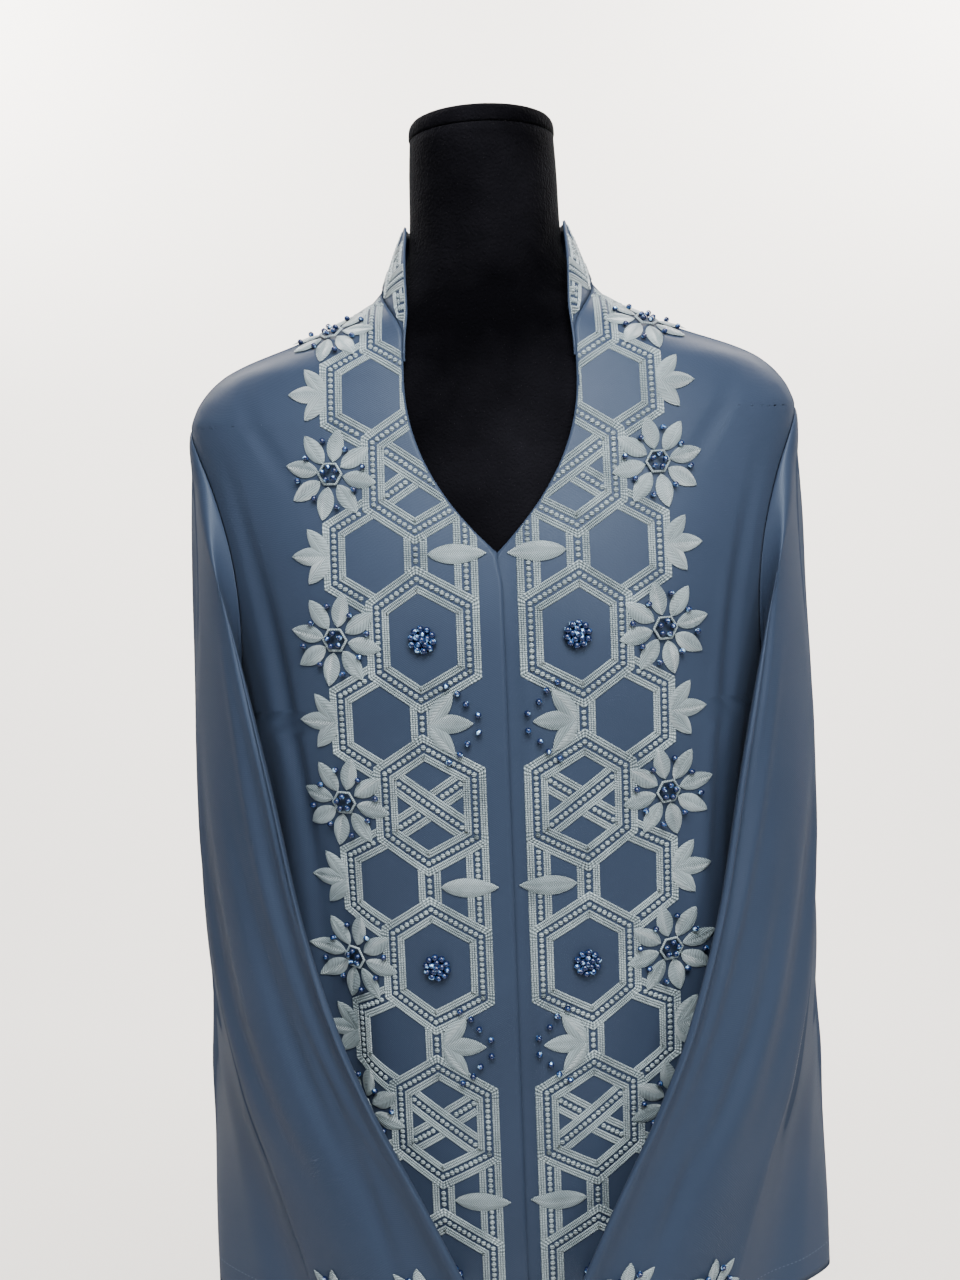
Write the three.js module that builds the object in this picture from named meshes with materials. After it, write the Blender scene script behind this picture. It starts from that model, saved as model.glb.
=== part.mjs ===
// A full-length abaya with long wide sleeves, shown on a limbless dress form with a round floor stand.
// Millimetres, +Z up. The wearer's front faces -Y and the wearer's left is +X.
import * as THREE from 'three';

// Cloth
const wall = 1.5;
const seamGap = 0.3;
const underlap = 20; // how far the left front runs under the right one
const overlap = 3; // how far the right front runs past the centre
const underlapStep = wall + seamGap + 1; // how far the left front is pressed back there
const underlapMargin = 5; // it is fully pressed back this far beyond the right front's edge
const underlapRamp = 10; // how wide the step is
const underlapStart = 24; // the step begins this far above the point of the V
const layerClearance = 9; // the sleeve lies this far off the fronts

// Heights
const hemHeight = 60;
const underarmHeight = 1185;
const shoulderTipHeight = 1400;
const neckPointHeight = 1496; // where the shoulder seam meets the neck
const backNeckHeight = 1489;
const neckStraightHeight = 1430; // below it the neckline curves in to the V
const neckFlareHeight = 1455; // above it the neckline spreads to the shoulder seam
const vPointHeight = 1307;
const collarTopHeight = 1539;
const collarBackRise = 3; // the collar's back stands this much higher than its sides

// Neck and armholes
const neckHalf = 60; // half width of the neckline where it runs straight up
const neckPointHalf = 78;
const neckCurve = 2.2; // how round the V is
const armholeBulgeFront = 25; // degrees that the armhole cuts into the front
const armholeBulgeBack = 22;
const collarTopHalf = 60;
const collarTopBack = 61;
const collarFrontRise = 6; // the collar's height at its front ends
const collarRiseShare = 0.42; // share of the way to the back where it reaches its full height

// Numbers of steps
const armholeRows = 12;
const vRow = 8; // the row that meets the point of the V
const skirtRows = 20;
const frontColumns = 16;
const backNeckColumns = 6;
const backShoulderColumns = 9;
const sleeveRingPower = 1.15; // the rings lie closer together near the armhole
const frontRowPower = 1.7; // rows lie closer together near the shoulder
const backRowPower = 1.5;
const centreRise = 27; // the underarm row lies this much higher at the centre
const sleeveRings = 18;
const collarFrontRow = 4; // the row of the fronts where the collar begins
const collarRows = 3;
const formSides = 30;

// Outer surface of the body of the garment, level by level: half width, and depth of front and back
const bodySections = [
  { height: 60, half: 272, front: 184, back: 185 },
  { height: 200, half: 258, front: 178, back: 176 },
  { height: 400, half: 238, front: 170, back: 162 },
  { height: 600, half: 219, front: 162, back: 148 },
  { height: 800, half: 203, front: 152, back: 134 },
  { height: 900, half: 198, front: 147, back: 126 },
  { height: 1000, half: 197, front: 142, back: 121 },
  { height: 1100, half: 198, front: 138, back: 119 },
  { height: 1185, half: 203, front: 136, back: 121 },
  { height: 1240, half: 207, front: 133, back: 122 },
  { height: 1300, half: 214, front: 122, back: 120 },
  { height: 1350, half: 222, front: 107, back: 115 },
  { height: 1400, half: 229, front: 91, back: 106 },
  { height: 1412, half: 225, front: 87, back: 103 },
  { height: 1425, half: 216, front: 83, back: 99 },
  { height: 1437, half: 202, front: 80, back: 95 },
  { height: 1445, half: 186, front: 77, back: 92 },
  { height: 1459, half: 146, front: 73, back: 85 },
  { height: 1475, half: 106, front: 70, back: 75 },
  { height: 1486, half: 88, front: 67, back: 69 },
  { height: 1496, half: 78, front: 65, back: 64 },
];

// Soft upright folds: where they lie round the body (degrees from the front centre, + towards the
// wearer's left), half their spread, how far they stand out (+) or sink in (-), and the heights
// where they start and are full
const bodyFolds = [
  { angle: -38, spread: 9, depth: -9, starts: 1180, full: 880 },
  { angle: -52, spread: 11, depth: 6, starts: 1240, full: 900 },
  { angle: -16, spread: 12, depth: -7, starts: 900, full: 300 },
  { angle: -72, spread: 12, depth: -12, starts: 760, full: 200 },
  { angle: 27, spread: 11, depth: -8, starts: 960, full: 320 },
  { angle: 46, spread: 11, depth: 6, starts: 1280, full: 900 },
  { angle: 62, spread: 10, depth: -9, starts: 900, full: 300 },
  { angle: 80, spread: 11, depth: 12, starts: 760, full: 120 },
  { angle: 104, spread: 13, depth: -13, starts: 1080, full: 300 },
  { angle: 128, spread: 13, depth: 12, starts: 1180, full: 200 },
  { angle: 151, spread: 12, depth: -11, starts: 1240, full: 360 },
  { angle: 174, spread: 12, depth: 9, starts: 1080, full: 240 },
  { angle: -162, spread: 12, depth: -10, starts: 1200, full: 420 },
  { angle: -137, spread: 13, depth: 13, starts: 1120, full: 200 },
  { angle: -110, spread: 13, depth: -12, starts: 1140, full: 300 },
  { angle: -88, spread: 11, depth: 11, starts: 700, full: 140 },
];

// The left sleeve from armhole to cuff. Each section has its distance down the sleeve, its leading
// (front) and trailing (back) edges, half its thickness, how far its outer side lies above its
// middle, and how far it bows out from the body
const sleeveSections = [
  { down: 0, leadX: 197, leadY: -53, leadZ: 1292, trailX: 197, trailY: 50, trailZ: 1292,
    half: 13, rise: 107, bow: 19 },
  { down: 35, leadX: 200, leadY: -62, leadZ: 1270, trailX: 219, trailY: 64, trailZ: 1262,
    half: 12.5, rise: 102, bow: 10 },
  { down: 90, leadX: 186, leadY: -82, leadZ: 1228, trailX: 226, trailY: 74, trailZ: 1212,
    half: 15.5, rise: 86, bow: 14 },
  { down: 165, leadX: 168, leadY: -106, leadZ: 1155, trailX: 232, trailY: 76, trailZ: 1133,
    half: 17, rise: 58, bow: 22 },
  { down: 265, leadX: 147, leadY: -129, leadZ: 1055, trailX: 243, trailY: 66, trailZ: 1032,
    half: 17, rise: 30, bow: 28 },
  { down: 345, leadX: 121, leadY: -150, leadZ: 975, trailX: 251, trailY: 40, trailZ: 946,
    half: 16, rise: 14, bow: 28 },
  { down: 405, leadX: 96, leadY: -166, leadZ: 922, trailX: 251, trailY: 8, trailZ: 891,
    half: 16, rise: 8, bow: 25 },
  { down: 465, leadX: 68, leadY: -180, leadZ: 872, trailX: 246, trailY: -26, trailZ: 839,
    half: 15, rise: 4, bow: 20 },
  { down: 525, leadX: 40, leadY: -193, leadZ: 818, trailX: 241, trailY: -62, trailZ: 784,
    half: 15, rise: 0, bow: 13 },
  { down: 570, leadX: 22, leadY: -200, leadZ: 782, trailX: 237, trailY: -84, trailZ: 745,
    half: 14, rise: 0, bow: 10 },
];
const armholeBlend = 70; // the sleeve leaves the armhole's own outline over this length

// Long soft folds of a sleeve: place round it (degrees from the outer side, + to the leading edge)
const sleeveFolds = [
  { side: 'both', around: 58, spread: 24, depth: -5, starts: 120, full: 260 },
  { side: 'both', around: 22, spread: 22, depth: 3.5, starts: 160, full: 320 },
  { side: 'right', around: -12, spread: 20, depth: -4.5, starts: 250, full: 420 },
  { side: 'left', around: -22, spread: 22, depth: -4, starts: 200, full: 460 },
];

// The velvet-covered form, from the hips up to the chest, and its neck
const torsoSections = [
  { height: 782, half: 120, front: 72, back: 76 },
  { height: 786, half: 146, front: 90, back: 95 },
  { height: 797, half: 163, front: 103, back: 108 },
  { height: 850, half: 172, front: 111, back: 116 },
  { height: 920, half: 160, front: 107, back: 108 },
  { height: 985, half: 139, front: 99, back: 94 },
  { height: 1040, half: 129, front: 96, back: 87 },
  { height: 1100, half: 135, front: 104, back: 91 },
  { height: 1180, half: 150, front: 121, back: 101 },
  { height: 1235, half: 158, front: 126, back: 106 },
  { height: 1290, half: 166, front: 117, back: 110 },
  { height: 1340, half: 180, front: 103, back: 108 },
  { height: 1372, half: 196, front: 93, back: 104 },
  { height: 1392, half: 207, front: 87, back: 100 },
];
const shoulderHeights = [1404, 1416, 1428, 1437, 1446, 1458, 1468, 1478];
const neckSections = [
  { height: 1487, half: 80, front: 60, back: 60 },
  { height: 1496, half: 69, front: 58, back: 56 },
  { height: 1505, half: 64, front: 58, back: 58 },
  { height: 1520, half: 57.5, front: 57, back: 56 },
  { height: 1545, half: 55.5, front: 56, back: 55 },
  { height: 1575, half: 54.5, front: 55, back: 54 },
  { height: 1600, half: 53, front: 54, back: 53 },
];
const shoulderDrop = 3.9; // the form's shoulder lies this far below the cloth's outer surface
const shoulderHalfLimit = 211;
const chestEase = 4; // the cloth stands this far off the chest at the shoulders
const capHeight = 13;
const capLip = 0.6; // the cap is this much wider than the neck under it

// Stand
const baseRadius = 165;
const baseThickness = 12;
const baseBevel = 3;
const poleRadius = 16;
const poleSides = 24;
const socketRadius = 26;
const socketLength = 60;
const socketBevel = 4;
const poleFootRadius = 30.4;
const poleFootHeight = 8;
const poleFootSlope = 12; // the foot narrows to the pole over this height

const colours = {
  cloth: 0x50647f,
  velvet: 0x0b0b0f,
  metal: 0x8a8d90,
};

// Small maths
const radians = THREE.MathUtils.degToRad;
const lerp = THREE.MathUtils.lerp;
const clamp01 = (t) => Math.min(1, Math.max(0, t));
const smooth = (t) => clamp01(t) ** 2 * (3 - 2 * clamp01(t));
const bump = (t) => (Math.abs(t) < 1 ? Math.cos((t * Math.PI) / 2) ** 2 : 0);
const wrapDegrees = (angle) => ((angle + 540) % 360) - 180;

// The slope of a smooth curve through a table's rows, which never overshoots them
function slopeAt(rows, key, column, index) {
  const slope = (a, b) => (rows[b][column] - rows[a][column]) / (rows[b][key] - rows[a][key]);
  if (index === 0) return slope(0, 1);
  if (index === rows.length - 1) return slope(index - 1, index);
  const before = slope(index - 1, index);
  const after = slope(index, index + 1);
  return before * after <= 0 ? 0 : (2 * before * after) / (before + after);
}

function readTable(rows, key, column, at) {
  const inside = Math.min(Math.max(at, rows[0][key]), rows[rows.length - 1][key]);
  let index = 0;
  while (index < rows.length - 2 && inside > rows[index + 1][key]) index += 1;
  const step = rows[index + 1][key] - rows[index][key];
  const t = (inside - rows[index][key]) / step;
  const startSlope = slopeAt(rows, key, column, index) * step;
  const endSlope = slopeAt(rows, key, column, index + 1) * step;
  const rise = rows[index + 1][column] - rows[index][column];
  return rows[index][column] + startSlope * t
    + (3 * rise - 2 * startSlope - endSlope) * t * t
    + (startSlope + endSlope - 2 * rise) * t * t * t;
}

const bodyAt = (height) => ({
  half: readTable(bodySections, 'height', 'half', height),
  front: readTable(bodySections, 'height', 'front', height),
  back: readTable(bodySections, 'height', 'back', height),
});

const foldDepth = (angle, height) => bodyFolds.reduce((sum, fold) => {
  const across = bump(wrapDegrees(angle - fold.angle) / fold.spread);
  return sum + fold.depth * across * smooth((fold.starts - height) / (fold.starts - fold.full));
}, 0);

// A point of the garment's outer surface: degrees from the front centre, and height
function bodyPoint(angle, height) {
  const { half, front, back } = bodyAt(height);
  const turn = radians(angle);
  const depth = Math.cos(turn) > 0 ? front : back;
  const outward = new THREE.Vector2(Math.sin(turn) / half, -Math.cos(turn) / depth).normalize();
  const fold = foldDepth(angle, height);
  return new THREE.Vector3(
    half * Math.sin(turn) + fold * outward.x,
    -depth * Math.cos(turn) + fold * outward.y,
    height,
  );
}

function bodyNormal(angle, height) {
  const around = bodyPoint(angle + 0.5, height).sub(bodyPoint(angle - 0.5, height));
  const up = bodyPoint(angle, height + 1).sub(bodyPoint(angle, height - 1));
  return around.cross(up).normalize();
}

// Half width of the neckline at a height: straight beside the neck, then round to the V
function necklineHalf(height) {
  if (height >= neckStraightHeight) {
    const spread = smooth((height - neckFlareHeight) / (neckPointHeight - neckFlareHeight));
    return lerp(neckHalf, neckPointHalf, spread);
  }
  const down = clamp01((neckStraightHeight - height) / (neckStraightHeight - vPointHeight));
  return neckHalf * (1 - down ** neckCurve);
}

// Angle of the armhole's edge from the front centre, front or back
function armholeAngle(height, isFront) {
  const middle = (shoulderTipHeight + underarmHeight) / 2;
  const reach = (shoulderTipHeight - underarmHeight) / 2;
  const away = Math.min(1, Math.abs(height - middle) / reach);
  const cut = Math.sqrt(1 - away * away);
  return isFront ? 90 - armholeBulgeFront * cut : 90 + armholeBulgeBack * cut;
}

const armholeHeight = (row) => {
  const reach = (shoulderTipHeight - underarmHeight) / 2;
  return underarmHeight + reach * (1 + Math.cos((Math.PI * row) / armholeRows));
};

// The height where the garment is as wide as a given half width, on the shoulder
function shoulderHeightAt(halfWidthAt) {
  let low = shoulderTipHeight;
  let high = neckPointHeight;
  for (let i = 0; i < 40; i += 1) {
    const height = (low + high) / 2;
    if (bodyAt(height).half > halfWidthAt(height)) low = height;
    else high = height;
  }
  return low;
}

// How far a row lies below the shoulder, at the neck's side and at the armhole's side
function rowDrop(row, neckHeight, isFront) {
  const edge = shoulderTipHeight - armholeHeight(Math.min(row, armholeRows));
  const lastInner = neckHeight - (underarmHeight + centreRise);
  const down = Math.min(row, armholeRows) / armholeRows;
  if (!isFront) return { inner: lastInner * down ** backRowPower, edge };
  const toV = neckHeight - vPointHeight;
  const inner = row <= vRow
    ? toV * (row / vRow) ** frontRowPower
    : toV + ((lastInner - toV) * (row - vRow)) / (armholeRows - vRow);
  return { inner, edge };
}

// Rows of the skirt run from the underarm to a level hem
function rowHeight(row, across, topHeight, neckHeight, isFront) {
  const drop = rowDrop(Math.min(row, armholeRows), neckHeight, isFront);
  const height = topHeight - lerp(drop.inner, drop.edge, across);
  if (row <= armholeRows) return height;
  return lerp(height, hemHeight, (row - armholeRows) / skirtRows);
}

const allRows = armholeRows + skirtRows;

// One front, as outer points and outward normals, for the wearer's right (-1) or left (+1)
function frontGrid(side) {
  const gapAngle = (depth) => THREE.MathUtils.radToDeg(seamGap / 2 / depth);
  const tipHalf = bodyAt(shoulderTipHeight).half;
  const innerAtTip = THREE.MathUtils.radToDeg(Math.asin(necklineHalf(shoulderTipHeight) / tipHalf));
  const grid = [];
  for (let row = 0; row <= allRows; row += 1) {
    const line = [];
    for (let column = 0; column <= frontColumns; column += 1) {
      const across = column / frontColumns;
      const tipX = tipHalf * Math.sin(radians(lerp(innerAtTip, 90, across)));
      const share = (tipX - necklineHalf(shoulderTipHeight)) / (tipHalf - necklineHalf(shoulderTipHeight));
      const columnX = (height) => lerp(necklineHalf(height), tipHalf, share);
      const topHeight = shoulderHeightAt(columnX);
      const height = rowHeight(row, across, topHeight, neckPointHeight, true);
      const body = bodyAt(height);
      const seam = gapAngle(body.front);
      let angle = 90 - seam;
      if (row > 0 && height >= shoulderTipHeight) {
        const sine = Math.min(columnX(height) / body.half, Math.cos(radians(seam)));
        angle = THREE.MathUtils.radToDeg(Math.asin(sine));
      } else if (row > 0) {
        const past = -smooth((vPointHeight - height) / underlapStart) * (side > 0 ? underlap : overlap);
        const innerX = height > vPointHeight ? necklineHalf(height) : past;
        const inner = THREE.MathUtils.radToDeg(Math.asin(innerX / body.half));
        angle = lerp(inner, armholeAngle(height, true) - seam, across);
      }
      line.push(frontPoint(side, angle, height));
    }
    grid.push(line);
  }
  return grid;
}

// The left front is pressed back where the right one lies on it
function frontPoint(side, angle, height) {
  const normal = bodyNormal(side * angle, height);
  const point = bodyPoint(side * angle, height);
  if (side > 0) {
    const under = smooth((overlap + underlapMargin + underlapRamp - point.x) / underlapRamp);
    const below = smooth((vPointHeight + underlapStart - height) / underlapStart);
    point.addScaledVector(normal, -underlapStep * under * below);
  }
  return { point, normal };
}

// The back, from one shoulder to the other
function backGrid() {
  const tipHalf = bodyAt(shoulderTipHeight).half;
  const neckAngle = THREE.MathUtils.radToDeg(Math.asin(neckPointHalf / tipHalf));
  const angles = [];
  for (let i = 0; i < backNeckColumns; i += 1) angles.push((neckAngle * i) / backNeckColumns);
  for (let i = 0; i <= backShoulderColumns; i += 1) {
    angles.push(lerp(neckAngle, 90, i / backShoulderColumns));
  }
  const columns = [...angles.slice(1).reverse().map((angle) => -angle), ...angles];
  const grid = [];
  for (let row = 0; row <= allRows; row += 1) {
    grid.push(columns.map((fromBack) => backPoint(row, fromBack, tipHalf)));
  }
  return grid;
}

function backPoint(row, fromBack, tipHalf) {
  const across = Math.abs(fromBack) / 90;
  const columnX = tipHalf * Math.sin(radians(Math.abs(fromBack)));
  const neckRise = (neckPointHeight - backNeckHeight) * (columnX / neckPointHalf) ** 2;
  const onNeck = columnX <= neckPointHalf;
  const topHeight = onNeck ? backNeckHeight + neckRise : shoulderHeightAt(() => columnX);
  const height = rowHeight(row, across, topHeight, backNeckHeight, false);
  const body = bodyAt(height);
  const seam = THREE.MathUtils.radToDeg(seamGap / 2 / body.back);
  let angle = 90 + seam;
  if (height >= shoulderTipHeight && (row > 0 || onNeck)) {
    const sine = Math.min(columnX / body.half, Math.cos(radians(seam)));
    angle = 180 - THREE.MathUtils.radToDeg(Math.asin(sine));
  } else if (row > 0) {
    angle = lerp(180, armholeAngle(height, false) + seam, across);
  }
  const signed = fromBack < 0 ? -angle : angle;
  return { point: bodyPoint(signed, height), normal: bodyNormal(signed, height) };
}

// A section of the left sleeve, round from its outer side over its leading edge
function sleeveSectionPoint(around, down) {
  const read = (column) => readTable(sleeveSections, 'down', column, down);
  const lead = new THREE.Vector3(read('leadX'), read('leadY'), read('leadZ'));
  const trail = new THREE.Vector3(read('trailX'), read('trailY'), read('trailZ'));
  const along = new THREE.Vector2(lead.x - trail.x, lead.y - trail.y).normalize();
  const outward = new THREE.Vector3(-along.y, along.x, 0);
  const middle = lead.clone().lerp(trail, 0.5).addScaledVector(outward, read('bow'));
  const outer = outward.clone().multiplyScalar(read('half'));
  outer.z = read('rise');
  const turn = radians(around);
  const edge = Math.sin(turn) >= 0 ? lead : trail;
  return middle.clone()
    .addScaledVector(outer, Math.cos(turn))
    .addScaledVector(edge.sub(middle), Math.abs(Math.sin(turn)));
}

// The armhole's outline at the same step round the sleeve
function armholePoint(around) {
  const turn = radians(around);
  const middle = (shoulderTipHeight + underarmHeight) / 2;
  const height = middle + (middle - underarmHeight) * Math.cos(turn);
  const angle = armholeAngle(height, Math.sin(turn) >= 0);
  const point = bodyPoint(angle, height);
  const centre = bodyPoint(90, middle);
  const toCentre = centre.clone().sub(point).normalize();
  const shift = seamGap + 0.1;
  point.addScaledVector(toCentre, shift).addScaledVector(bodyNormal(angle, height), shift);
  return { point, toCentre };
}

// A point inside the fronts is moved out in its own level until it lies on them
function keepClear(point) {
  const body = bodyAt(point.z);
  const depth = point.y < 0 ? body.front : body.back;
  const size = Math.hypot(point.x / (body.half + layerClearance), point.y / (depth + layerClearance));
  const clear = size > 1 ? 1 : size;
  return new THREE.Vector3(point.x / clear, point.y / clear, point.z);
}

function sleeveFoldDepth(around, down, side) {
  return sleeveFolds.filter((fold) => fold.side === 'both' || fold.side === side)
    .reduce((sum, fold) => {
      const across = bump(wrapDegrees(around - fold.around) / fold.spread);
      return sum + fold.depth * across * smooth((down - fold.starts) / (fold.full - fold.starts));
    }, 0);
}

function sleevePoint(around, down) {
  const blend = smooth(down / armholeBlend);
  const section = keepClear(sleeveSectionPoint(around, down));
  return armholePoint(around).point.lerp(section, blend);
}

function sleeveNormal(around, down) {
  const before = Math.max(down - 2, 0);
  const turnwise = sleevePoint(around + 1, down).sub(sleevePoint(around - 1, down));
  const downwise = sleevePoint(around, down + 2).sub(sleevePoint(around, before));
  return turnwise.cross(downwise).normalize();
}

function sleeveGrid(side) {
  const length = sleeveSections[sleeveSections.length - 1].down;
  const steps = armholeRows * 2;
  const grid = [];
  for (let ring = 0; ring <= sleeveRings; ring += 1) {
    const down = length * (ring / sleeveRings) ** sleeveRingPower;
    const line = [];
    for (let step = 0; step < steps; step += 1) {
      const around = (step * 360) / steps;
      const normal = sleeveNormal(around, down);
      const fold = sleeveFoldDepth(around, down, side);
      const point = sleevePoint(around, down).addScaledVector(normal, fold);
      const inward = normal.clone().negate();
      if (ring === 0) inward.add(armholePoint(around).toCentre).normalize();
      line.push({ point, normal: inward.negate() });
    }
    grid.push(line);
  }
  return grid;
}

// The collar stands on the neckline's own points: up the front to the shoulder seam, then round
// the back. Each base point has its share of the way from the front end to the middle of the back
function collarBase() {
  const front = frontGrid(1);
  const back = backGrid()[0];
  const centre = (back.length - 1) / 2;
  const points = [];
  for (let row = collarFrontRow; row >= 0; row -= 1) points.push(front[row][0].point.clone());
  for (let step = backNeckColumns - 1; step >= 0; step -= 1) {
    points.push(back[centre + step].point.clone());
  }
  let length = 0;
  const lengths = points.map((point, index) => {
    if (index > 0) length += point.distanceTo(points[index - 1]);
    return length;
  });
  return points.map((point, index) => {
    point.z += seamGap + 0.1;
    return { point, share: lengths[index] / length };
  });
}

function collarTop({ point, share }) {
  const risen = smooth(share / collarRiseShare);
  const height = lerp(point.z + collarFrontRise, collarTopHeight + collarBackRise * share, risen);
  const plan = new THREE.Vector2(point.x / collarTopHalf, point.y / collarTopBack).normalize();
  return new THREE.Vector3(
    lerp(point.x, plan.x * collarTopHalf, risen),
    lerp(point.y, plan.y * collarTopBack, risen),
    height,
  );
}

function collarGrid() {
  const side = collarBase().map((base) => ({ base: base.point, top: collarTop(base) }));
  const flip = new THREE.Vector3(-1, 1, 1);
  const otherSide = side.slice(0, -1).reverse().map(({ base, top }) => (
    { base: base.clone().multiply(flip), top: top.clone().multiply(flip) }));
  const ribs = [...side, ...otherSide];
  const grid = [];
  for (let row = 0; row <= collarRows; row += 1) {
    const points = ribs.map(({ base, top }) => base.clone().lerp(top, row / collarRows));
    grid.push(points.map((point, index) => {
      const before = points[Math.max(index - 1, 0)];
      const after = points[Math.min(index + 1, points.length - 1)];
      const rise = ribs[index].top.clone().sub(ribs[index].base);
      return { point, normal: after.clone().sub(before).cross(rise).normalize() };
    }));
  }
  return grid;
}

// Turns a grid of points and normals into a closed wall; a tube's rows join up with themselves
function wallGeometry(grid, isTube) {
  const rows = grid.length;
  const columns = grid[0].length;
  const positions = [];
  const push = (vector) => positions.push(vector.x, vector.y, vector.z);
  grid.flat().forEach(({ point }) => push(point));
  grid.flat().forEach(({ point, normal }) => push(point.clone().addScaledVector(normal, -wall)));
  const outer = (row, column) => row * columns + (column % columns);
  const inner = (row, column) => rows * columns + outer(row, column);
  const faces = [];
  const quad = (a, b, c, d) => faces.push(a, b, c, a, c, d);
  const lastColumn = isTube ? columns : columns - 1;
  for (let row = 0; row < rows - 1; row += 1) {
    for (let column = 0; column < lastColumn; column += 1) {
      const next = column + 1;
      quad(outer(row, column), outer(row, next), outer(row + 1, next), outer(row + 1, column));
      quad(inner(row, column), inner(row + 1, column), inner(row + 1, next), inner(row, next));
    }
  }
  for (let column = 0; column < lastColumn; column += 1) {
    const next = column + 1;
    const end = rows - 1;
    quad(outer(0, next), outer(0, column), inner(0, column), inner(0, next));
    quad(outer(end, column), outer(end, next), inner(end, next), inner(end, column));
  }
  if (!isTube) {
    for (let row = 0; row < rows - 1; row += 1) {
      const end = columns - 1;
      quad(outer(row, 0), outer(row + 1, 0), inner(row + 1, 0), inner(row, 0));
      quad(outer(row + 1, end), outer(row, end), inner(row, end), inner(row + 1, end));
    }
  }
  return closedGeometry(positions, faces);
}

// A stack of level rings with flat ends
function ringGeometry(sections, sides) {
  const positions = [];
  sections.forEach(({ height, half, front, back }) => {
    for (let side = 0; side < sides; side += 1) {
      const turn = (2 * Math.PI * side) / sides;
      const depth = Math.cos(turn) > 0 ? front : back;
      positions.push(half * Math.sin(turn), -depth * Math.cos(turn), height);
    }
  });
  const faces = [];
  const at = (row, side) => row * sides + (side % sides);
  for (let row = 0; row < sections.length - 1; row += 1) {
    for (let side = 0; side < sides; side += 1) {
      faces.push(at(row, side), at(row, side + 1), at(row + 1, side + 1));
      faces.push(at(row, side), at(row + 1, side + 1), at(row + 1, side));
    }
  }
  [0, sections.length - 1].forEach((row) => {
    const middle = positions.length / 3;
    positions.push(0, 0, sections[row].height);
    for (let side = 0; side < sides; side += 1) {
      if (row === 0) faces.push(middle, at(row, side + 1), at(row, side));
      else faces.push(middle, at(row, side), at(row, side + 1));
    }
  });
  return closedGeometry(positions, faces);
}

// Faces are turned round where the solid came out inside out, as a mirrored one does
function closedGeometry(positions, faces) {
  const corner = (index) => new THREE.Vector3().fromArray(positions, index * 3);
  let volume = 0;
  for (let i = 0; i < faces.length; i += 3) {
    const [a, b, c] = [corner(faces[i]), corner(faces[i + 1]), corner(faces[i + 2])];
    volume += a.dot(b.cross(c)) / 6;
  }
  if (volume < 0) {
    for (let i = 0; i < faces.length; i += 3) [faces[i], faces[i + 1]] = [faces[i + 1], faces[i]];
  }
  const geometry = new THREE.BufferGeometry();
  geometry.setAttribute('position', new THREE.Float32BufferAttribute(positions, 3));
  geometry.setIndex(faces);
  geometry.computeVertexNormals();
  return geometry;
}

const clothMaterial = () => new THREE.MeshStandardMaterial({
  color: colours.cloth, roughness: 0.55, metalness: 0, side: THREE.DoubleSide,
});
const velvetMaterial = () => new THREE.MeshStandardMaterial({
  color: colours.velvet, roughness: 0.95, metalness: 0,
});
const metalMaterial = () => new THREE.MeshStandardMaterial({
  color: colours.metal, roughness: 0.35, metalness: 0.9,
});

function named(name, geometry, material) {
  const mesh = new THREE.Mesh(geometry, material);
  mesh.name = name;
  return mesh;
}

function makeFronts() {
  return [
    named('abaya_front_right', wallGeometry(frontGrid(-1), false), clothMaterial()),
    named('abaya_front_left', wallGeometry(frontGrid(1), false), clothMaterial()),
  ];
}

function mirrored(grid) {
  const flip = new THREE.Vector3(-1, 1, 1);
  return grid.map((line) => line.map(({ point, normal }) => (
    { point: point.multiply(flip), normal: normal.multiply(flip) })));
}

function makeSleeves() {
  return [
    named('abaya_sleeve_right', wallGeometry(mirrored(sleeveGrid('right')), true), clothMaterial()),
    named('abaya_sleeve_left', wallGeometry(sleeveGrid('left'), true), clothMaterial()),
  ];
}

const makeBack = () => named('abaya_back', wallGeometry(backGrid(), false), clothMaterial());
const makeCollar = () => named('abaya_collar', wallGeometry(collarGrid(), false), clothMaterial());

// The form's shoulders follow the cloth's own surface, just under it
function shoulderSection(height) {
  const body = bodyAt(height + shoulderDrop);
  return {
    height,
    half: Math.min(body.half, shoulderHalfLimit),
    front: body.front - chestEase,
    back: body.back - chestEase,
  };
}

function makeForm() {
  const sections = [...torsoSections, ...shoulderHeights.map(shoulderSection), ...neckSections];
  const neckTop = neckSections[neckSections.length - 1];
  const capBottom = neckTop.height + seamGap;
  const capRing = (up, inset) => ({
    height: capBottom + up,
    half: neckTop.half + capLip - inset,
    front: neckTop.front + capLip - inset,
    back: neckTop.back + capLip - inset,
  });
  const cap = [
    capRing(0, 1), capRing(2, 0), capRing(capHeight - 4, 0.5), capRing(capHeight - 1.2, 3),
    capRing(capHeight, 7),
  ];
  return [
    named('form_torso', ringGeometry(sections, formSides), velvetMaterial()),
    named('form_neck_cap', ringGeometry(cap, formSides), velvetMaterial()),
  ];
}

function turned(profile, sides) {
  const geometry = new THREE.LatheGeometry(profile.map(([r, z]) => new THREE.Vector2(r, z)), sides);
  return geometry.rotateX(Math.PI / 2);
}

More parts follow.
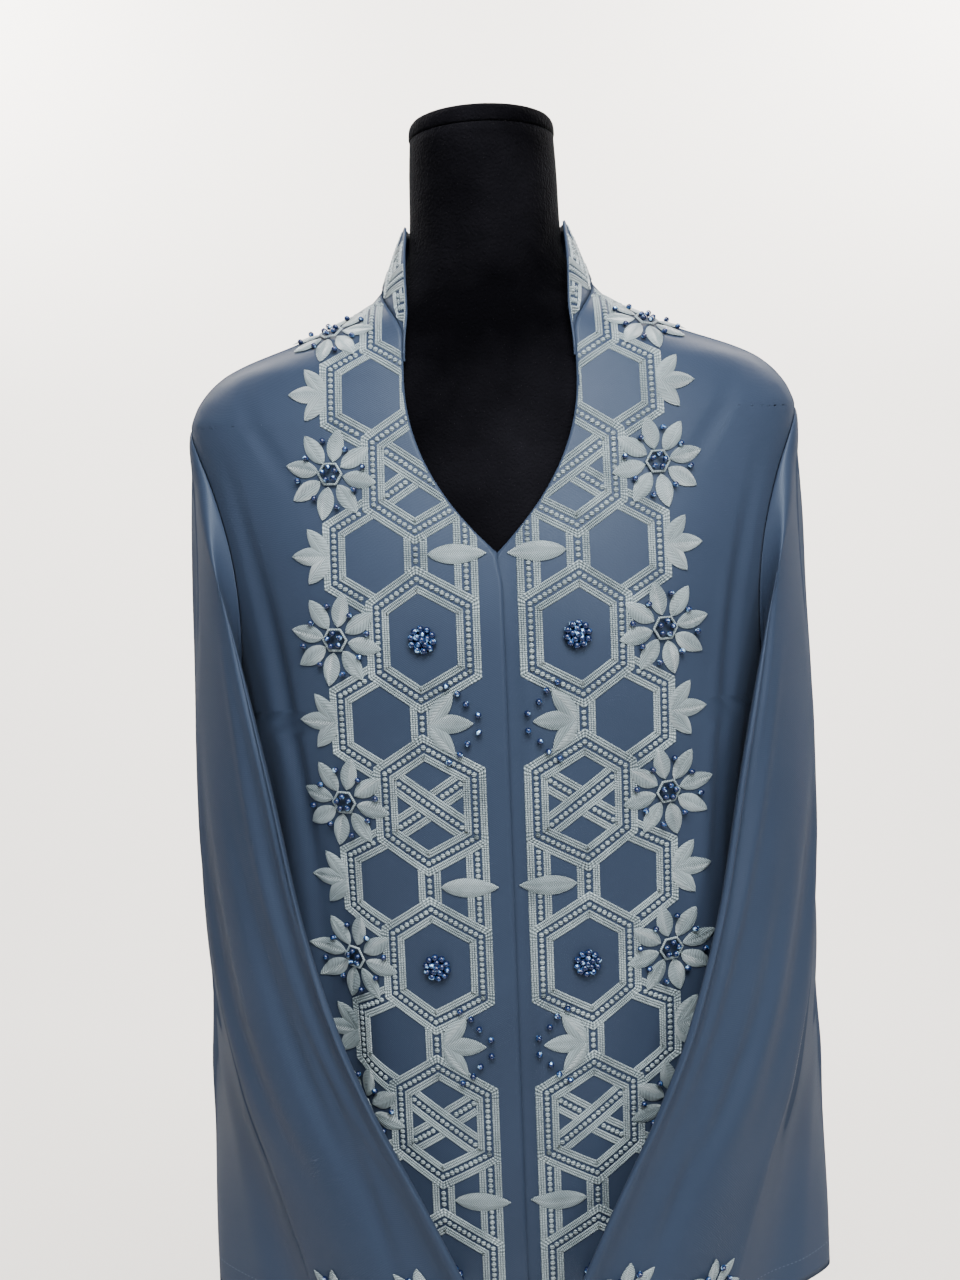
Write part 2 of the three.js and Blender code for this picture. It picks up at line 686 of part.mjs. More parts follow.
// The pole stands on the base and holds up the socket under the torso
function makeStand() {
  const torsoBottom = torsoSections[0].height;
  const base = turned([
    [0, 0], [baseRadius, 0], [baseRadius, baseThickness - baseBevel],
    [baseRadius - baseBevel, baseThickness], [0, baseThickness],
  ], poleSides * 2);
  const socketBottom = torsoBottom - seamGap - socketLength;
  const socket = turned([
    [0, socketBottom], [socketRadius - socketBevel, socketBottom],
    [socketRadius, socketBottom + socketBevel],
    [socketRadius, torsoBottom - seamGap], [0, torsoBottom - seamGap],
  ], poleSides);
  const poleBottom = baseThickness + seamGap;
  const poleTop = socketBottom - seamGap;
  const pole = turned([
    [0, poleBottom], [poleFootRadius, poleBottom], [poleFootRadius, poleBottom + poleFootHeight],
    [poleRadius, poleBottom + poleFootHeight + poleFootSlope], [poleRadius, poleTop], [0, poleTop],
  ], poleSides);
  return [
    named('stand_base', base, metalMaterial()),
    named('stand_pole', pole, metalMaterial()),
    named('stand_socket', socket, metalMaterial()),
  ];
}

const model = new THREE.Group();
model.add(...makeFronts(), makeBack(), ...makeSleeves(), makeCollar(), ...makeForm(), ...makeStand());

// The origin lies under the middle of the whole model, on the floor
const extent = new THREE.Box3().setFromObject(model);
const middle = extent.getCenter(new THREE.Vector3());
model.position.set(-middle.x, -middle.y, -extent.min.z);
model.updateMatrixWorld(true);

export default model;
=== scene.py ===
"""Looks of a full-length open abaya with embroidered fronts, hung on a velvet-covered form.

Lengths in the tables are millimetres in the garment's own frame, +Z up. The wearer's front faces
-Y and the wearer's left is +X. Meshes are made in metres.
"""

import math

import bpy
import numpy as np
from mathutils import Matrix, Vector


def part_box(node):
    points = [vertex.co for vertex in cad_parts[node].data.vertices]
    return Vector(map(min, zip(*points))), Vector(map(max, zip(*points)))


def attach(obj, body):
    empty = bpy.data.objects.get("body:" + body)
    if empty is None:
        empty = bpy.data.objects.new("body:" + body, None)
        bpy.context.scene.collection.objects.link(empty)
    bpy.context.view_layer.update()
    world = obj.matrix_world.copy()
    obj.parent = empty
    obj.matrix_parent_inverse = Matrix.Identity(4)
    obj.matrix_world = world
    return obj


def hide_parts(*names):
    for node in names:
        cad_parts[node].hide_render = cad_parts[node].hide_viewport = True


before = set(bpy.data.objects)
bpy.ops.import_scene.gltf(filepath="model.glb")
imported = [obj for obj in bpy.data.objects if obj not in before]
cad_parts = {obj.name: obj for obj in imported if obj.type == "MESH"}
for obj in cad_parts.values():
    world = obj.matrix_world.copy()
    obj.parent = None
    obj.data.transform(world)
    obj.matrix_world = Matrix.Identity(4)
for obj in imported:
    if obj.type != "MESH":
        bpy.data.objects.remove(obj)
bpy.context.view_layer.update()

MM = 0.001
base_low, base_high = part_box("stand_base")
SHIFT = np.array([(base_low[0] + base_high[0]) / 2, (base_low[1] + base_high[1]) / 2, 0.0])

# Cloth
WALL = 1.2
SEAM_GAP = 0.06
SLEEVE_SEAT = 0.4
COLLAR_SEAT = 0.4
UNDERLAP = 20
OVERLAP = 3
UNDERLAP_STEP = 2.8
UNDERLAP_MARGIN = 5
UNDERLAP_RAMP = 10
UNDERLAP_START = 24
LAYER_CLEARANCE = 9
HEM_HEIGHT = 60
UNDERARM_HEIGHT = 1185
SHOULDER_TIP_HEIGHT = 1400
NECK_POINT_HEIGHT = 1496
BACK_NECK_HEIGHT = 1489
NECK_STRAIGHT_HEIGHT = 1430
NECK_FLARE_HEIGHT = 1455
V_POINT_HEIGHT = 1307
NECK_HALF = 60
NECK_POINT_HALF = 78
NECK_CURVE = 2.2
ARMHOLE_BULGE_FRONT = 25
ARMHOLE_BULGE_BACK = 22
ARMHOLE_MIDDLE = (SHOULDER_TIP_HEIGHT + UNDERARM_HEIGHT) / 2
ARMHOLE_REACH = (SHOULDER_TIP_HEIGHT - UNDERARM_HEIGHT) / 2
ARMHOLE_BLEND = 70
ARMHOLE_ROWS = 12
V_ROW = 8
SKIRT_ROWS = 20
ROW_STEPS = 6
SKIPPED_ROWS = 3
LAST_INNER_DROP = 27
FRONT_ROW_POWER = 1.7
BACK_ROW_POWER = 1.5
FRONT_COLUMNS = 84
BACK_NECK_COLUMNS = 20
BACK_SHOULDER_COLUMNS = 48
SLEEVE_RINGS = 125
SLEEVE_RING_POWER = 1.15
SLEEVE_STEPS = 144
CREASE_POWER = 0.6
HALVINGS = 40
TINY = 1e-6
MIRROR = np.array([-1, 1, 1])

# Steps of the small differences that give a surface's normal, in degrees and mm
BODY_TURN_STEP = 0.5
BODY_RISE_STEP = 1
SLEEVE_TURN_STEP = 1
SLEEVE_DOWN_STEP = 2

# Collar
COLLAR_WALL = 1.5
COLLAR_TOP_HEIGHT = 1539
COLLAR_BACK_RISE = 3
COLLAR_TOP_HALF = 60
COLLAR_TOP_BACK = 61
COLLAR_FRONT_RISE = 6
COLLAR_RISE_SHARE = 0.42
COLLAR_FRONT_ROW = 4
COLLAR_RIBS = 70
COLLAR_ROWS = 10


def table(columns, rows):
    """A table with named columns, as arrays."""
    return dict(zip(columns, np.array(rows, float).T))


# Outer surface of the body of the garment: half width, and depth of front and back
BODY = table(("height", "half", "front", "back"), [
    (60, 272, 184, 185),
    (200, 258, 178, 176),
    (400, 238, 170, 162),
    (600, 219, 162, 148),
    (800, 203, 152, 134),
    (900, 198, 147, 126),
    (1000, 197, 142, 121),
    (1100, 198, 138, 119),
    (1185, 203, 136, 121),
    (1240, 207, 133, 122),
    (1300, 214, 122, 120),
    (1350, 222, 107, 115),
    (1400, 229, 91, 106),
    (1412, 225, 87, 103),
    (1425, 216, 83, 99),
    (1437, 202, 80, 95),
    (1445, 186, 77, 92),
    (1459, 146, 73, 85),
    (1475, 106, 70, 75),
    (1486, 88, 67, 69),
    (1496, 78, 65, 64),
])

# Large upright folds: degrees from the front centre, half spread, depth, heights of start and full
BODY_FOLDS = table(("place", "spread", "depth", "starts", "full"), [
    (-38, 9, -9, 1180, 880),
    (-52, 11, 6, 1240, 900),
    (-16, 12, -7, 900, 300),
    (-72, 12, -12, 760, 200),
    (27, 11, -8, 960, 320),
    (46, 11, 6, 1280, 900),
    (62, 10, -9, 900, 300),
    (80, 11, 12, 760, 120),
    (104, 13, -13, 1080, 300),
    (128, 13, 12, 1180, 200),
    (151, 12, -11, 1240, 360),
    (174, 12, 9, 1080, 240),
    (-162, 12, -10, 1200, 420),
    (-137, 13, 13, 1120, 200),
    (-110, 13, -12, 1140, 300),
    (-88, 11, 11, 700, 140),
])

# Soft creases: where each runs from and to, how far it bows sideways, half spread and depth
BODY_CREASES = table(("from", "to", "top", "end", "bow", "spread", "depth"), [
    (-60, -47, 1388, 1060, 2, 5, -3.4),
    (-52, -40, 1330, 1000, -2, 4.5, -2.5),
    (-66, -57, 1240, 930, 1, 3.5, 2.0),
    (-49, -42, 1190, 860, 1, 3.2, -2.1),
    (-30, -34, 1010, 640, 1, 3, -1.2),
    (-74, -66, 1060, 700, -2, 4, 2.1),
    (59, 48, 1384, 1050, -2, 5, -3.3),
    (51, 41, 1330, 1010, 2, 4.5, 2.2),
    (66, 58, 1240, 900, -1, 3.5, -2.0),
    (52, 50, 1150, 790, 1, 3.5, 1.6),
    (33, 38, 1040, 660, -1, 3, -1.1),
    (75, 67, 1080, 720, 2, 4, -2.0),
    (-58, -38, 1436, 1340, 2, 5, -1.2),
    (55, 37, 1434, 1350, -2, 5, -1.1),
    (123, 133, 1375, 1080, 2, 5, -3.2),
    (130, 138, 1290, 930, -2, 4.5, 2.4),
    (145, 148, 1180, 780, 2, 4.5, -2.4),
    (164, 160, 1120, 700, -1, 4.5, 2.2),
    (-124, -135, 1370, 1060, -2, 5, -3.1),
    (-131, -140, 1270, 950, 2, 4.5, 2.4),
    (-149, -150, 1200, 800, -2, 4.5, -2.5),
    (-172, -168, 1090, 690, 2, 4.5, 2.0),
    (-98, -101, 900, 380, 2, 4, -2.6),
    (92, 96, 940, 420, -2, 4, -2.4),
    (-24, -27, 620, 150, 1, 4, 2.0),
    (-60, -63, 560, 110, -1, 4, 2.4),
    (36, 40, 600, 140, 1, 4, 2.2),
    (71, 70, 540, 100, -1, 4, -2.4),
    (137, 140, 640, 130, 2, 4.5, -2.6),
    (-149, -152, 600, 120, -2, 4.5, 2.4),
])

# The left sleeve from armhole to cuff: leading and trailing edges, half its thickness, how far
# its outer side lies above its middle, and how far it bows out from the body
SLEEVE = table(("down", "lead_x", "lead_y", "lead_z", "trail_x", "trail_y", "trail_z",
                "half", "rise", "bow"), [
    (0, 197, -53, 1292, 197, 50, 1292, 13, 107, 19),
    (35, 200, -62, 1270, 219, 64, 1262, 12.5, 102, 10),
    (90, 186, -82, 1228, 226, 74, 1212, 15.5, 86, 14),
    (165, 168, -106, 1155, 232, 76, 1133, 17, 58, 22),
    (265, 147, -129, 1055, 243, 66, 1032, 17, 30, 28),
    (345, 121, -150, 975, 251, 40, 946, 16, 14, 28),
    (405, 96, -166, 922, 251, 8, 891, 16, 8, 25),
    (465, 68, -180, 872, 246, -26, 839, 15, 4, 20),
    (525, 40, -193, 818, 241, -62, 784, 15, 0, 13),
    (570, 22, -200, 782, 237, -84, 745, 14, 0, 10),
])
SLEEVE_LENGTH = 570

# Folds of a sleeve: the sides that have it (-1 right, 1 left, 0 both), place round it in degrees
# from its outer side, half spread, depth, and how far down it starts and is full
SLEEVE_FOLDS = table(("side", "place", "spread", "depth", "starts", "full"), [
    (0, 58, 24, -5, 120, 260),
    (0, 22, 22, 3.5, 160, 320),
    (-1, -12, 20, -4.5, 250, 420),
    (1, -22, 22, -4, 200, 460),
])

# Soft creases of a sleeve, in the same words as the body's
SLEEVE_CREASES = table(("side", "from", "to", "top", "end", "bow", "spread", "depth"), [
    (-1, 66, 76, 60, 330, 4, 9, -3.4),
    (-1, 44, 66, 110, 480, -5, 8, 2.9),
    (-1, 30, 40, 210, 540, 4, 8, -3.2),
    (-1, 4, 22, 170, 500, -4, 9, -2.8),
    (-1, 50, 30, 330, 566, 6, 6, -1.9),
    (-1, -34, -16, 140, 420, 5, 10, 3.0),
    (-1, -58, -44, 90, 380, -4, 10, -3.0),
    (-1, 73, 84, 240, 520, 3, 7, 1.6),
    (-1, 12, -6, 30, 200, 3, 9, -1.6),
    (-1, 150, 160, 120, 420, 4, 10, -1.8),
    (1, 62, 74, 70, 350, -4, 9, -3.5),
    (1, 40, 60, 130, 460, 5, 8, 2.8),
    (1, 26, 44, 240, 550, -3, 8, -3.2),
    (1, -2, 16, 190, 470, 4, 9, -2.7),
    (1, 54, 36, 350, 566, -5, 6, -1.6),
    (1, -40, -24, 120, 440, -5, 10, 2.9),
    (1, -62, -50, 100, 360, 4, 10, -3.0),
    (1, 78, 86, 220, 500, -3, 7, 1.5),
    (1, 16, -3, 40, 190, -3, 9, -1.5),
    (1, 152, 164, 140, 440, -4, 10, -1.8),
])

# The velvet-covered form, from the hips up to the chest, and its neck
TORSO = [
    (782, 120, 72, 76),
    (786, 146, 90, 95),
    (797, 163, 103, 108),
    (850, 172, 111, 116),
    (920, 160, 107, 108),
    (985, 139, 99, 94),
    (1040, 129, 96, 87),
    (1100, 135, 104, 91),
    (1180, 150, 121, 101),
    (1235, 158, 126, 106),
    (1290, 166, 117, 110),
    (1340, 180, 103, 108),
    (1372, 196, 93, 104),
    (1392, 207, 87, 100),
]
SHOULDER_HEIGHTS = [1404, 1416, 1428, 1437, 1446, 1458, 1468, 1478]
NECK = [
    (1487, 80, 60, 60),
    (1496, 69, 58, 56),
    (1505, 64, 58, 58),
    (1520, 57.5, 57, 56),
    (1545, 55.5, 56, 55),
    (1575, 54.5, 55, 54),
    (1600, 53, 54, 53),
]
SHOULDER_DROP = 3.9
SHOULDER_HALF_LIMIT = 211
CHEST_EASE = 4
FORM_SIDES = 120
FORM_ROW_STEP = 6
CAP_GAP = 0.3
CAP_LIP = 0.6

# The cap's outline: how far up from its foot, and how far in from its widest
CAP = [(0, 1), (0.8, 0.3), (2, 0), (5, 0.1), (8, 0.6), (10, 1.6), (11.6, 3), (12.6, 5.2), (13, 7.4)]


def clamp01(value):
    return np.clip(value, 0, 1)


def smooth(value):
    value = clamp01(value)
    return value * value * (3 - 2 * value)


def bump(value):
    return np.where(np.abs(value) < 1, np.cos(np.clip(value, -1, 1) * np.pi / 2) ** 2, 0)


def lerp(start, end, share):
    return start + (end - start) * share


def wrap_degrees(angle):
    return (angle + 540) % 360 - 180


def read(rows, key, column, at):
    """A smooth curve through a column, which never overshoots its rows."""
    xs, ys = rows[key], rows[column]
    step = np.diff(xs)
    slope = np.diff(ys) / step
    inner = np.zeros(len(xs))
    inner[0], inner[-1] = slope[0], slope[-1]
    before, after = slope[:-1], slope[1:]
    together = np.where(before + after == 0, 1, before + after)
    inner[1:-1] = np.where(before * after <= 0, 0, 2 * before * after / together)
    at = np.clip(at, xs[0], xs[-1])
    index = np.clip(np.searchsorted(xs, at, side="left") - 1, 0, len(xs) - 2)
    t = (at - xs[index]) / step[index]
    start, end = inner[index] * step[index], inner[index + 1] * step[index]
    rise = ys[index + 1] - ys[index]
    return (ys[index] + start * t + (3 * rise - 2 * start - end) * t * t
            + (start + end - 2 * rise) * t * t * t)


def body_size(height):
    return tuple(read(BODY, "height", column, height) for column in ("half", "front", "back"))


def rows_of(rows, side):
    """A table's rows as dicts, without those of the other side."""
    for values in zip(*rows.values()):
        row = dict(zip(rows, values))
        if row.get("side", 0) in (0, side):
            yield row


def crease_depth(rows, place, along, side=0):
    """Sum of soft troughs and ridges that run from one place to another and fade at both ends."""
    total = np.zeros(np.broadcast(place, along).shape)
    for row in rows_of(rows, side):
        share = (along - row["top"]) / (row["end"] - row["top"])
        middle = lerp(row["from"], row["to"], share) + row["bow"] * np.sin(np.pi * clamp01(share))
        across = bump(wrap_degrees(place - middle) / row["spread"])
        fade = bump(clamp01(share) * 2 - 1) ** CREASE_POWER
        total = total + row["depth"] * across * fade
    return total


def fold_depth(rows, place, along, side=0):
    """Sum of large folds, each deeper from where it starts to where it is full."""
    total = 0
    for row in rows_of(rows, side):
        across = bump(wrap_degrees(place - row["place"]) / row["spread"])
        grown = smooth((along - row["starts"]) / (row["full"] - row["starts"]))
        total = total + row["depth"] * across * grown
    return total


def body_fold(angle, height):
    return crease_depth(BODY_CREASES, angle, height) + fold_depth(BODY_FOLDS, angle, height)


def sleeve_depth(around, down, side):
    creases = crease_depth(SLEEVE_CREASES, around, down, side)
    return creases + fold_depth(SLEEVE_FOLDS, around, down, side)


def unit(vectors):
    length = np.linalg.norm(vectors, axis=-1, keepdims=True)
    return vectors / np.where(length == 0, 1, length)


def body_point(angle, height):
    """The garment's outer surface at degrees from the front centre and a height."""
    angle, height = np.broadcast_arrays(np.asarray(angle, float), np.asarray(height, float))
    half, front, back = body_size(height)
    turn = np.radians(angle)
    depth = np.where(np.cos(turn) > 0, front, back)
    out_x, out_y = np.sin(turn) / half, -np.cos(turn) / depth
    size = np.hypot(out_x, out_y)
    fold = body_fold(angle, height)
    return np.stack([
        half * np.sin(turn) + fold * out_x / size,
        -depth * np.cos(turn) + fold * out_y / size,
        height,
    ], axis=-1)


def body_normal(angle, height):
    turn, rise = BODY_TURN_STEP, BODY_RISE_STEP
    around = body_point(angle + turn, height) - body_point(angle - turn, height)
    up = body_point(angle, height + rise) - body_point(angle, height - rise)
    return unit(np.cross(around, up))


def neckline_half(height):
    spread = smooth((height - NECK_FLARE_HEIGHT) / (NECK_POINT_HEIGHT - NECK_FLARE_HEIGHT))
    above = lerp(NECK_HALF, NECK_POINT_HALF, spread)
    down = clamp01((NECK_STRAIGHT_HEIGHT - height) / (NECK_STRAIGHT_HEIGHT - V_POINT_HEIGHT))
    return np.where(height >= NECK_STRAIGHT_HEIGHT, above, NECK_HALF * (1 - down ** NECK_CURVE))


def armhole_angle(height, is_front):
    away = np.minimum(1, np.abs(height - ARMHOLE_MIDDLE) / ARMHOLE_REACH)
    cut = np.sqrt(1 - away * away)
    return np.where(is_front, 90 - ARMHOLE_BULGE_FRONT * cut, 90 + ARMHOLE_BULGE_BACK * cut)


def shoulder_height(half_width_at, shape):
    """The height where the garment is as wide as a given half width, on the shoulder."""
    low = np.full(shape, float(SHOULDER_TIP_HEIGHT))
    high = np.full(shape, float(NECK_POINT_HEIGHT))
    for _ in range(HALVINGS):
        height = (low + high) / 2
        wider = body_size(height)[0] > half_width_at(height)
        low, high = np.where(wider, height, low), np.where(wider, high, height)
    return low


def row_height(row, across, top, neck_height, is_front):
    """Rows run from the shoulder to the underarm, then down to a level hem."""
    upper = np.minimum(row, ARMHOLE_ROWS)
    edge = ARMHOLE_REACH * (1 - np.cos(np.pi * upper / ARMHOLE_ROWS))
    last = neck_height - (UNDERARM_HEIGHT + LAST_INNER_DROP)
    if is_front:
        to_v = neck_height - V_POINT_HEIGHT
        above_v = to_v * (np.minimum(upper, V_ROW) / V_ROW) ** FRONT_ROW_POWER
        below_v = to_v + (last - to_v) * (upper - V_ROW) / (ARMHOLE_ROWS - V_ROW)
        inner = np.where(upper <= V_ROW, above_v, below_v)
    else:
        inner = last * (upper / ARMHOLE_ROWS) ** BACK_ROW_POWER
    height = top - lerp(inner, edge, across)
    below = clamp01((row - ARMHOLE_ROWS) / SKIRT_ROWS)
    return lerp(height, HEM_HEIGHT, below)


def fine_rows():
    """Rows of a panel, without the first few, which would lie too near the shoulder seam."""
    rows = np.linspace(0, ARMHOLE_ROWS + SKIRT_ROWS, (ARMHOLE_ROWS + SKIRT_ROWS) * ROW_STEPS + 1)
    return np.delete(rows, range(1, SKIPPED_ROWS + 1))


TIP_HALF = float(body_size(np.array(float(SHOULDER_TIP_HEIGHT)))[0])
NECK_AT_TIP = float(neckline_half(np.array(float(SHOULDER_TIP_HEIGHT))))
NECK_ANGLE = math.degrees(math.asin(NECK_POINT_HALF / TIP_HALF))


def front_place(side, row, across):
    """Angle and height of a point of a front, by its row and its share of the way across."""
    row, across = np.broadcast_arrays(np.asarray(row, float), np.asarray(across, float))
    inner_at_tip = math.degrees(math.asin(NECK_AT_TIP / TIP_HALF))
    tip_x = TIP_HALF * np.sin(np.radians(lerp(inner_at_tip, 90, across)))
    share = (tip_x - NECK_AT_TIP) / (TIP_HALF - NECK_AT_TIP)

    def column_x(height):
        return lerp(neckline_half(height), TIP_HALF, share)

    top = shoulder_height(column_x, row.shape)
    height = row_height(row, across, top, NECK_POINT_HEIGHT, True)
    half, front, _ = body_size(height)
    seam = np.degrees(SEAM_GAP / 2 / front)
    sine = np.minimum(column_x(height) / half, np.cos(np.radians(seam)))
    by_width = np.degrees(np.arcsin(sine))
    past = -smooth((V_POINT_HEIGHT - height) / UNDERLAP_START)
    past = past * (UNDERLAP if side > 0 else OVERLAP)
    inner_x = np.where(height > V_POINT_HEIGHT, neckline_half(height), past)
    inner = np.degrees(np.arcsin(inner_x / half))
    by_angle = lerp(inner, armhole_angle(height, True) - seam, across)
    angle = np.where(height >= SHOULDER_TIP_HEIGHT, by_width, by_angle)
    return np.where(row == 0, 90 - seam, angle), height


def front_point(side, angle, height):
    """A front's outer point; the left front is pressed back where the right one lies on it."""
    normal = body_normal(side * angle, height)
    point = body_point(side * angle, height)
    if side > 0:
        reach = OVERLAP + UNDERLAP_MARGIN + UNDERLAP_RAMP
        under = smooth((reach - point[..., 0]) / UNDERLAP_RAMP)
        below = smooth((V_POINT_HEIGHT + UNDERLAP_START - height) / UNDERLAP_START)
        point = point - normal * (UNDERLAP_STEP * under * below)[..., None]
    return point, normal


def front_grid(side):
    rows = fine_rows()[:, None]
    across = np.linspace(0, 1, FRONT_COLUMNS + 1)[None, :]
    angle, height = front_place(side, rows, across)
    return front_point(side, angle, height)


def back_grid():
    neck = np.linspace(0, NECK_ANGLE, BACK_NECK_COLUMNS, endpoint=False)
    half_side = np.concatenate([neck, np.linspace(NECK_ANGLE, 90, BACK_SHOULDER_COLUMNS + 1)])
    from_back = np.concatenate([-half_side[:0:-1], half_side])[None, :]
    row = fine_rows()[:, None]
    row, from_back = np.broadcast_arrays(row, from_back)
    return back_point(row, from_back)


def back_point(row, from_back):
    across = np.abs(from_back) / 90
    column_x = TIP_HALF * np.sin(np.radians(np.abs(from_back)))
    on_neck = column_x <= NECK_POINT_HALF + TINY
    neck_rise = (NECK_POINT_HEIGHT - BACK_NECK_HEIGHT) * (column_x / NECK_POINT_HALF) ** 2
    on_shoulder = shoulder_height(lambda height: column_x, row.shape)
    top = np.where(on_neck, BACK_NECK_HEIGHT + neck_rise, on_shoulder)
    height = row_height(row, across, top, BACK_NECK_HEIGHT, False)
    half, _, back = body_size(height)
    seam = np.degrees(SEAM_GAP / 2 / back)
    sine = np.minimum(column_x / half, np.cos(np.radians(seam)))
    by_width = 180 - np.degrees(np.arcsin(sine))
    by_angle = lerp(180, armhole_angle(height, False) + seam, across)
    high = (height >= SHOULDER_TIP_HEIGHT) & ((row > 0) | on_neck)
    angle = np.where(high, by_width, np.where(row > 0, by_angle, 90 + seam))
    signed = np.where(from_back < 0, -angle, angle)
    return body_point(signed, height), body_normal(signed, height)


def sleeve_section(around, down):
    def vector(name):
        return np.stack([read(SLEEVE, "down", f"{name}_{axis}", down) for axis in "xyz"], axis=-1)

    lead, trail = vector("lead"), vector("trail")
    along = unit(lead[..., :2] - trail[..., :2])
    outward = np.stack([-along[..., 1], along[..., 0], np.zeros(down.shape)], axis=-1)
    middle = (lead + trail) / 2 + outward * read(SLEEVE, "down", "bow", down)[..., None]
    outer = outward * read(SLEEVE, "down", "half", down)[..., None]
    outer[..., 2] = read(SLEEVE, "down", "rise", down)
    turn = np.radians(around)[..., None]
    edge = np.where(np.sin(turn) >= 0, lead, trail)
    return middle + outer * np.cos(turn) + (edge - middle) * np.abs(np.sin(turn))


def armhole_point(around):
    turn = np.radians(around)
    height = ARMHOLE_MIDDLE + ARMHOLE_REACH * np.cos(turn)
    angle = armhole_angle(height, np.sin(turn) >= 0)
    point = body_point(angle, height)
    to_centre = unit(body_point(90.0, ARMHOLE_MIDDLE) - point)
    return point + (to_centre + body_normal(angle, height)) * SLEEVE_SEAT, to_centre


def keep_clear(point):
    """A point inside the fronts is moved out in its own level until it lies on them."""
    half, front, back = body_size(point[..., 2])
    depth = np.where(point[..., 1] < 0, front, back)
    size = np.hypot(point[..., 0] / (half + LAYER_CLEARANCE),
                    point[..., 1] / (depth + LAYER_CLEARANCE))
    clear = np.where(size > 1, 1, size)
    moved = point.copy()
    moved[..., 0] /= clear
    moved[..., 1] /= clear
    return moved


def sleeve_base(around, down):
    around, down = np.broadcast_arrays(np.asarray(around, float), np.asarray(down, float))
    blend = smooth(down / ARMHOLE_BLEND)[..., None]
    return lerp(armhole_point(around)[0], keep_clear(sleeve_section(around, down)), blend)


def sleeve_normal(around, down):
    turn, fall = SLEEVE_TURN_STEP, SLEEVE_DOWN_STEP
    turnwise = sleeve_base(around + turn, down) - sleeve_base(around - turn, down)
    above = np.maximum(down - fall, 0)
    downwise = sleeve_base(around, down + fall) - sleeve_base(around, above)
    return unit(np.cross(turnwise, downwise))


def sleeve_point(around, down, side):
    """Outer point and outward normal of a sleeve, with its folds and creases."""
    around, down = np.broadcast_arrays(np.asarray(around, float), np.asarray(down, float))
    normal = sleeve_normal(around, down)
    point = sleeve_base(around, down) + normal * sleeve_depth(around, down, side)[..., None]
    if side < 0:
        return point * MIRROR, normal * MIRROR
    return point, normal


def sleeve_grid(side):
    down = (SLEEVE_LENGTH * np.linspace(0, 1, SLEEVE_RINGS + 1) ** SLEEVE_RING_POWER)[:, None]
    around = (np.arange(SLEEVE_STEPS) * 360 / SLEEVE_STEPS)[None, :]
    point, normal = sleeve_point(around, down, side)
    rim = -armhole_point(around[0])[1] * np.array([side, 1, 1])
    normal[0] = unit(normal[0] + rim)
    return point, normal


def line_lengths(points):
    """Length along a line of points, up to each of them."""
    steps = np.linalg.norm(np.diff(points, axis=0), axis=1)
    return np.concatenate([[0], np.cumsum(steps)])


def along_line(at, lengths, values):
    """What a line's points hold, read at lengths along it."""
    return np.stack([np.interp(at, lengths, values[:, axis]) for axis in range(3)], -1)


def collar_half():
    """Base points and tops of the collar's left half, from the front end to the back centre."""
    rows = np.linspace(COLLAR_FRONT_ROW, 0, COLLAR_RIBS // 2 + 1)
    angle, height = front_place(1, rows, np.zeros(len(rows)))
    front = front_point(1, angle, height)[0]
    behind = np.linspace(NECK_ANGLE, 0, COLLAR_RIBS // 2 + 1)[1:]
    back = back_point(np.zeros(len(behind)), behind)[0]
    base = np.concatenate([front, back])
    length = line_lengths(base)
    share = length / length[-1]
    base[:, 2] += COLLAR_SEAT
    risen = smooth(share / COLLAR_RISE_SHARE)
    plan = unit(base[:, :2] / np.array([COLLAR_TOP_HALF, COLLAR_TOP_BACK]))
    top = np.stack([
        lerp(base[:, 0], plan[:, 0] * COLLAR_TOP_HALF, risen),
        lerp(base[:, 1], plan[:, 1] * COLLAR_TOP_BACK, risen),
        lerp(base[:, 2] + COLLAR_FRONT_RISE, COLLAR_TOP_HEIGHT + COLLAR_BACK_RISE * share, risen),
    ], axis=-1)
    return base, top, length


def collar_ribs():
    base, top, length = collar_half()
    bases = np.concatenate([base, base[-2::-1] * MIRROR])
    tops = np.concatenate([top, top[-2::-1] * MIRROR])
    lengths = np.concatenate([length, 2 * length[-1] - length[-2::-1]])
    return bases, tops, lengths


def collar_grid():
    bases, tops, _ = collar_ribs()
    share = np.linspace(0, 1, COLLAR_ROWS + 1)[:, None, None]
    points = lerp(bases[None], tops[None], share)
    along = np.gradient(points, axis=1)
    return points, unit(np.cross(along, (tops - bases)[None]))


def to_metres(points):
    return points.reshape(-1, 3) * MM + SHIFT


def quads(rows, columns, wrap, offset=0, flip=False):
    row, column = np.meshgrid(np.arange(rows - 1), np.arange(columns if wrap else columns - 1),
                              indexing="ij")
    after = (column + 1) % columns
    corners = [row * columns + column, row * columns + after,
               (row + 1) * columns + after, (row + 1) * columns + column]
    if flip:
        corners.reverse()
    return np.stack([c.ravel() for c in corners], axis=-1) + offset


def link_object(name, data):
    obj = bpy.data.objects.new(name, data)
    bpy.context.scene.collection.objects.link(obj)
    return obj


def make_mesh(name, points, faces, material):
    """A smooth-shaded mesh of one material."""
    mesh = bpy.data.meshes.new(name)
    mesh.from_pydata(points, [], faces)
    mesh.polygons.foreach_set("use_smooth", [True] * len(mesh.polygons))
    mesh.materials.append(material)
    return mesh


def make_object(name, points, faces, material, uv=None):
    """A piece of the garment or its form, from points in metres and a list of faces."""
    mesh = make_mesh(name, points.tolist(), faces, material)
    if uv is not None:
        layer = mesh.uv_layers.new(name="UVMap")
        corners = np.empty(len(mesh.loops), dtype=np.int64)
        mesh.loops.foreach_get("vertex_index", corners)
        layer.data.foreach_set("uv", uv[corners].astype(np.float32).ravel())
    mesh.update()
    obj = link_object(name, mesh)
    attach(obj, "root")
    return obj


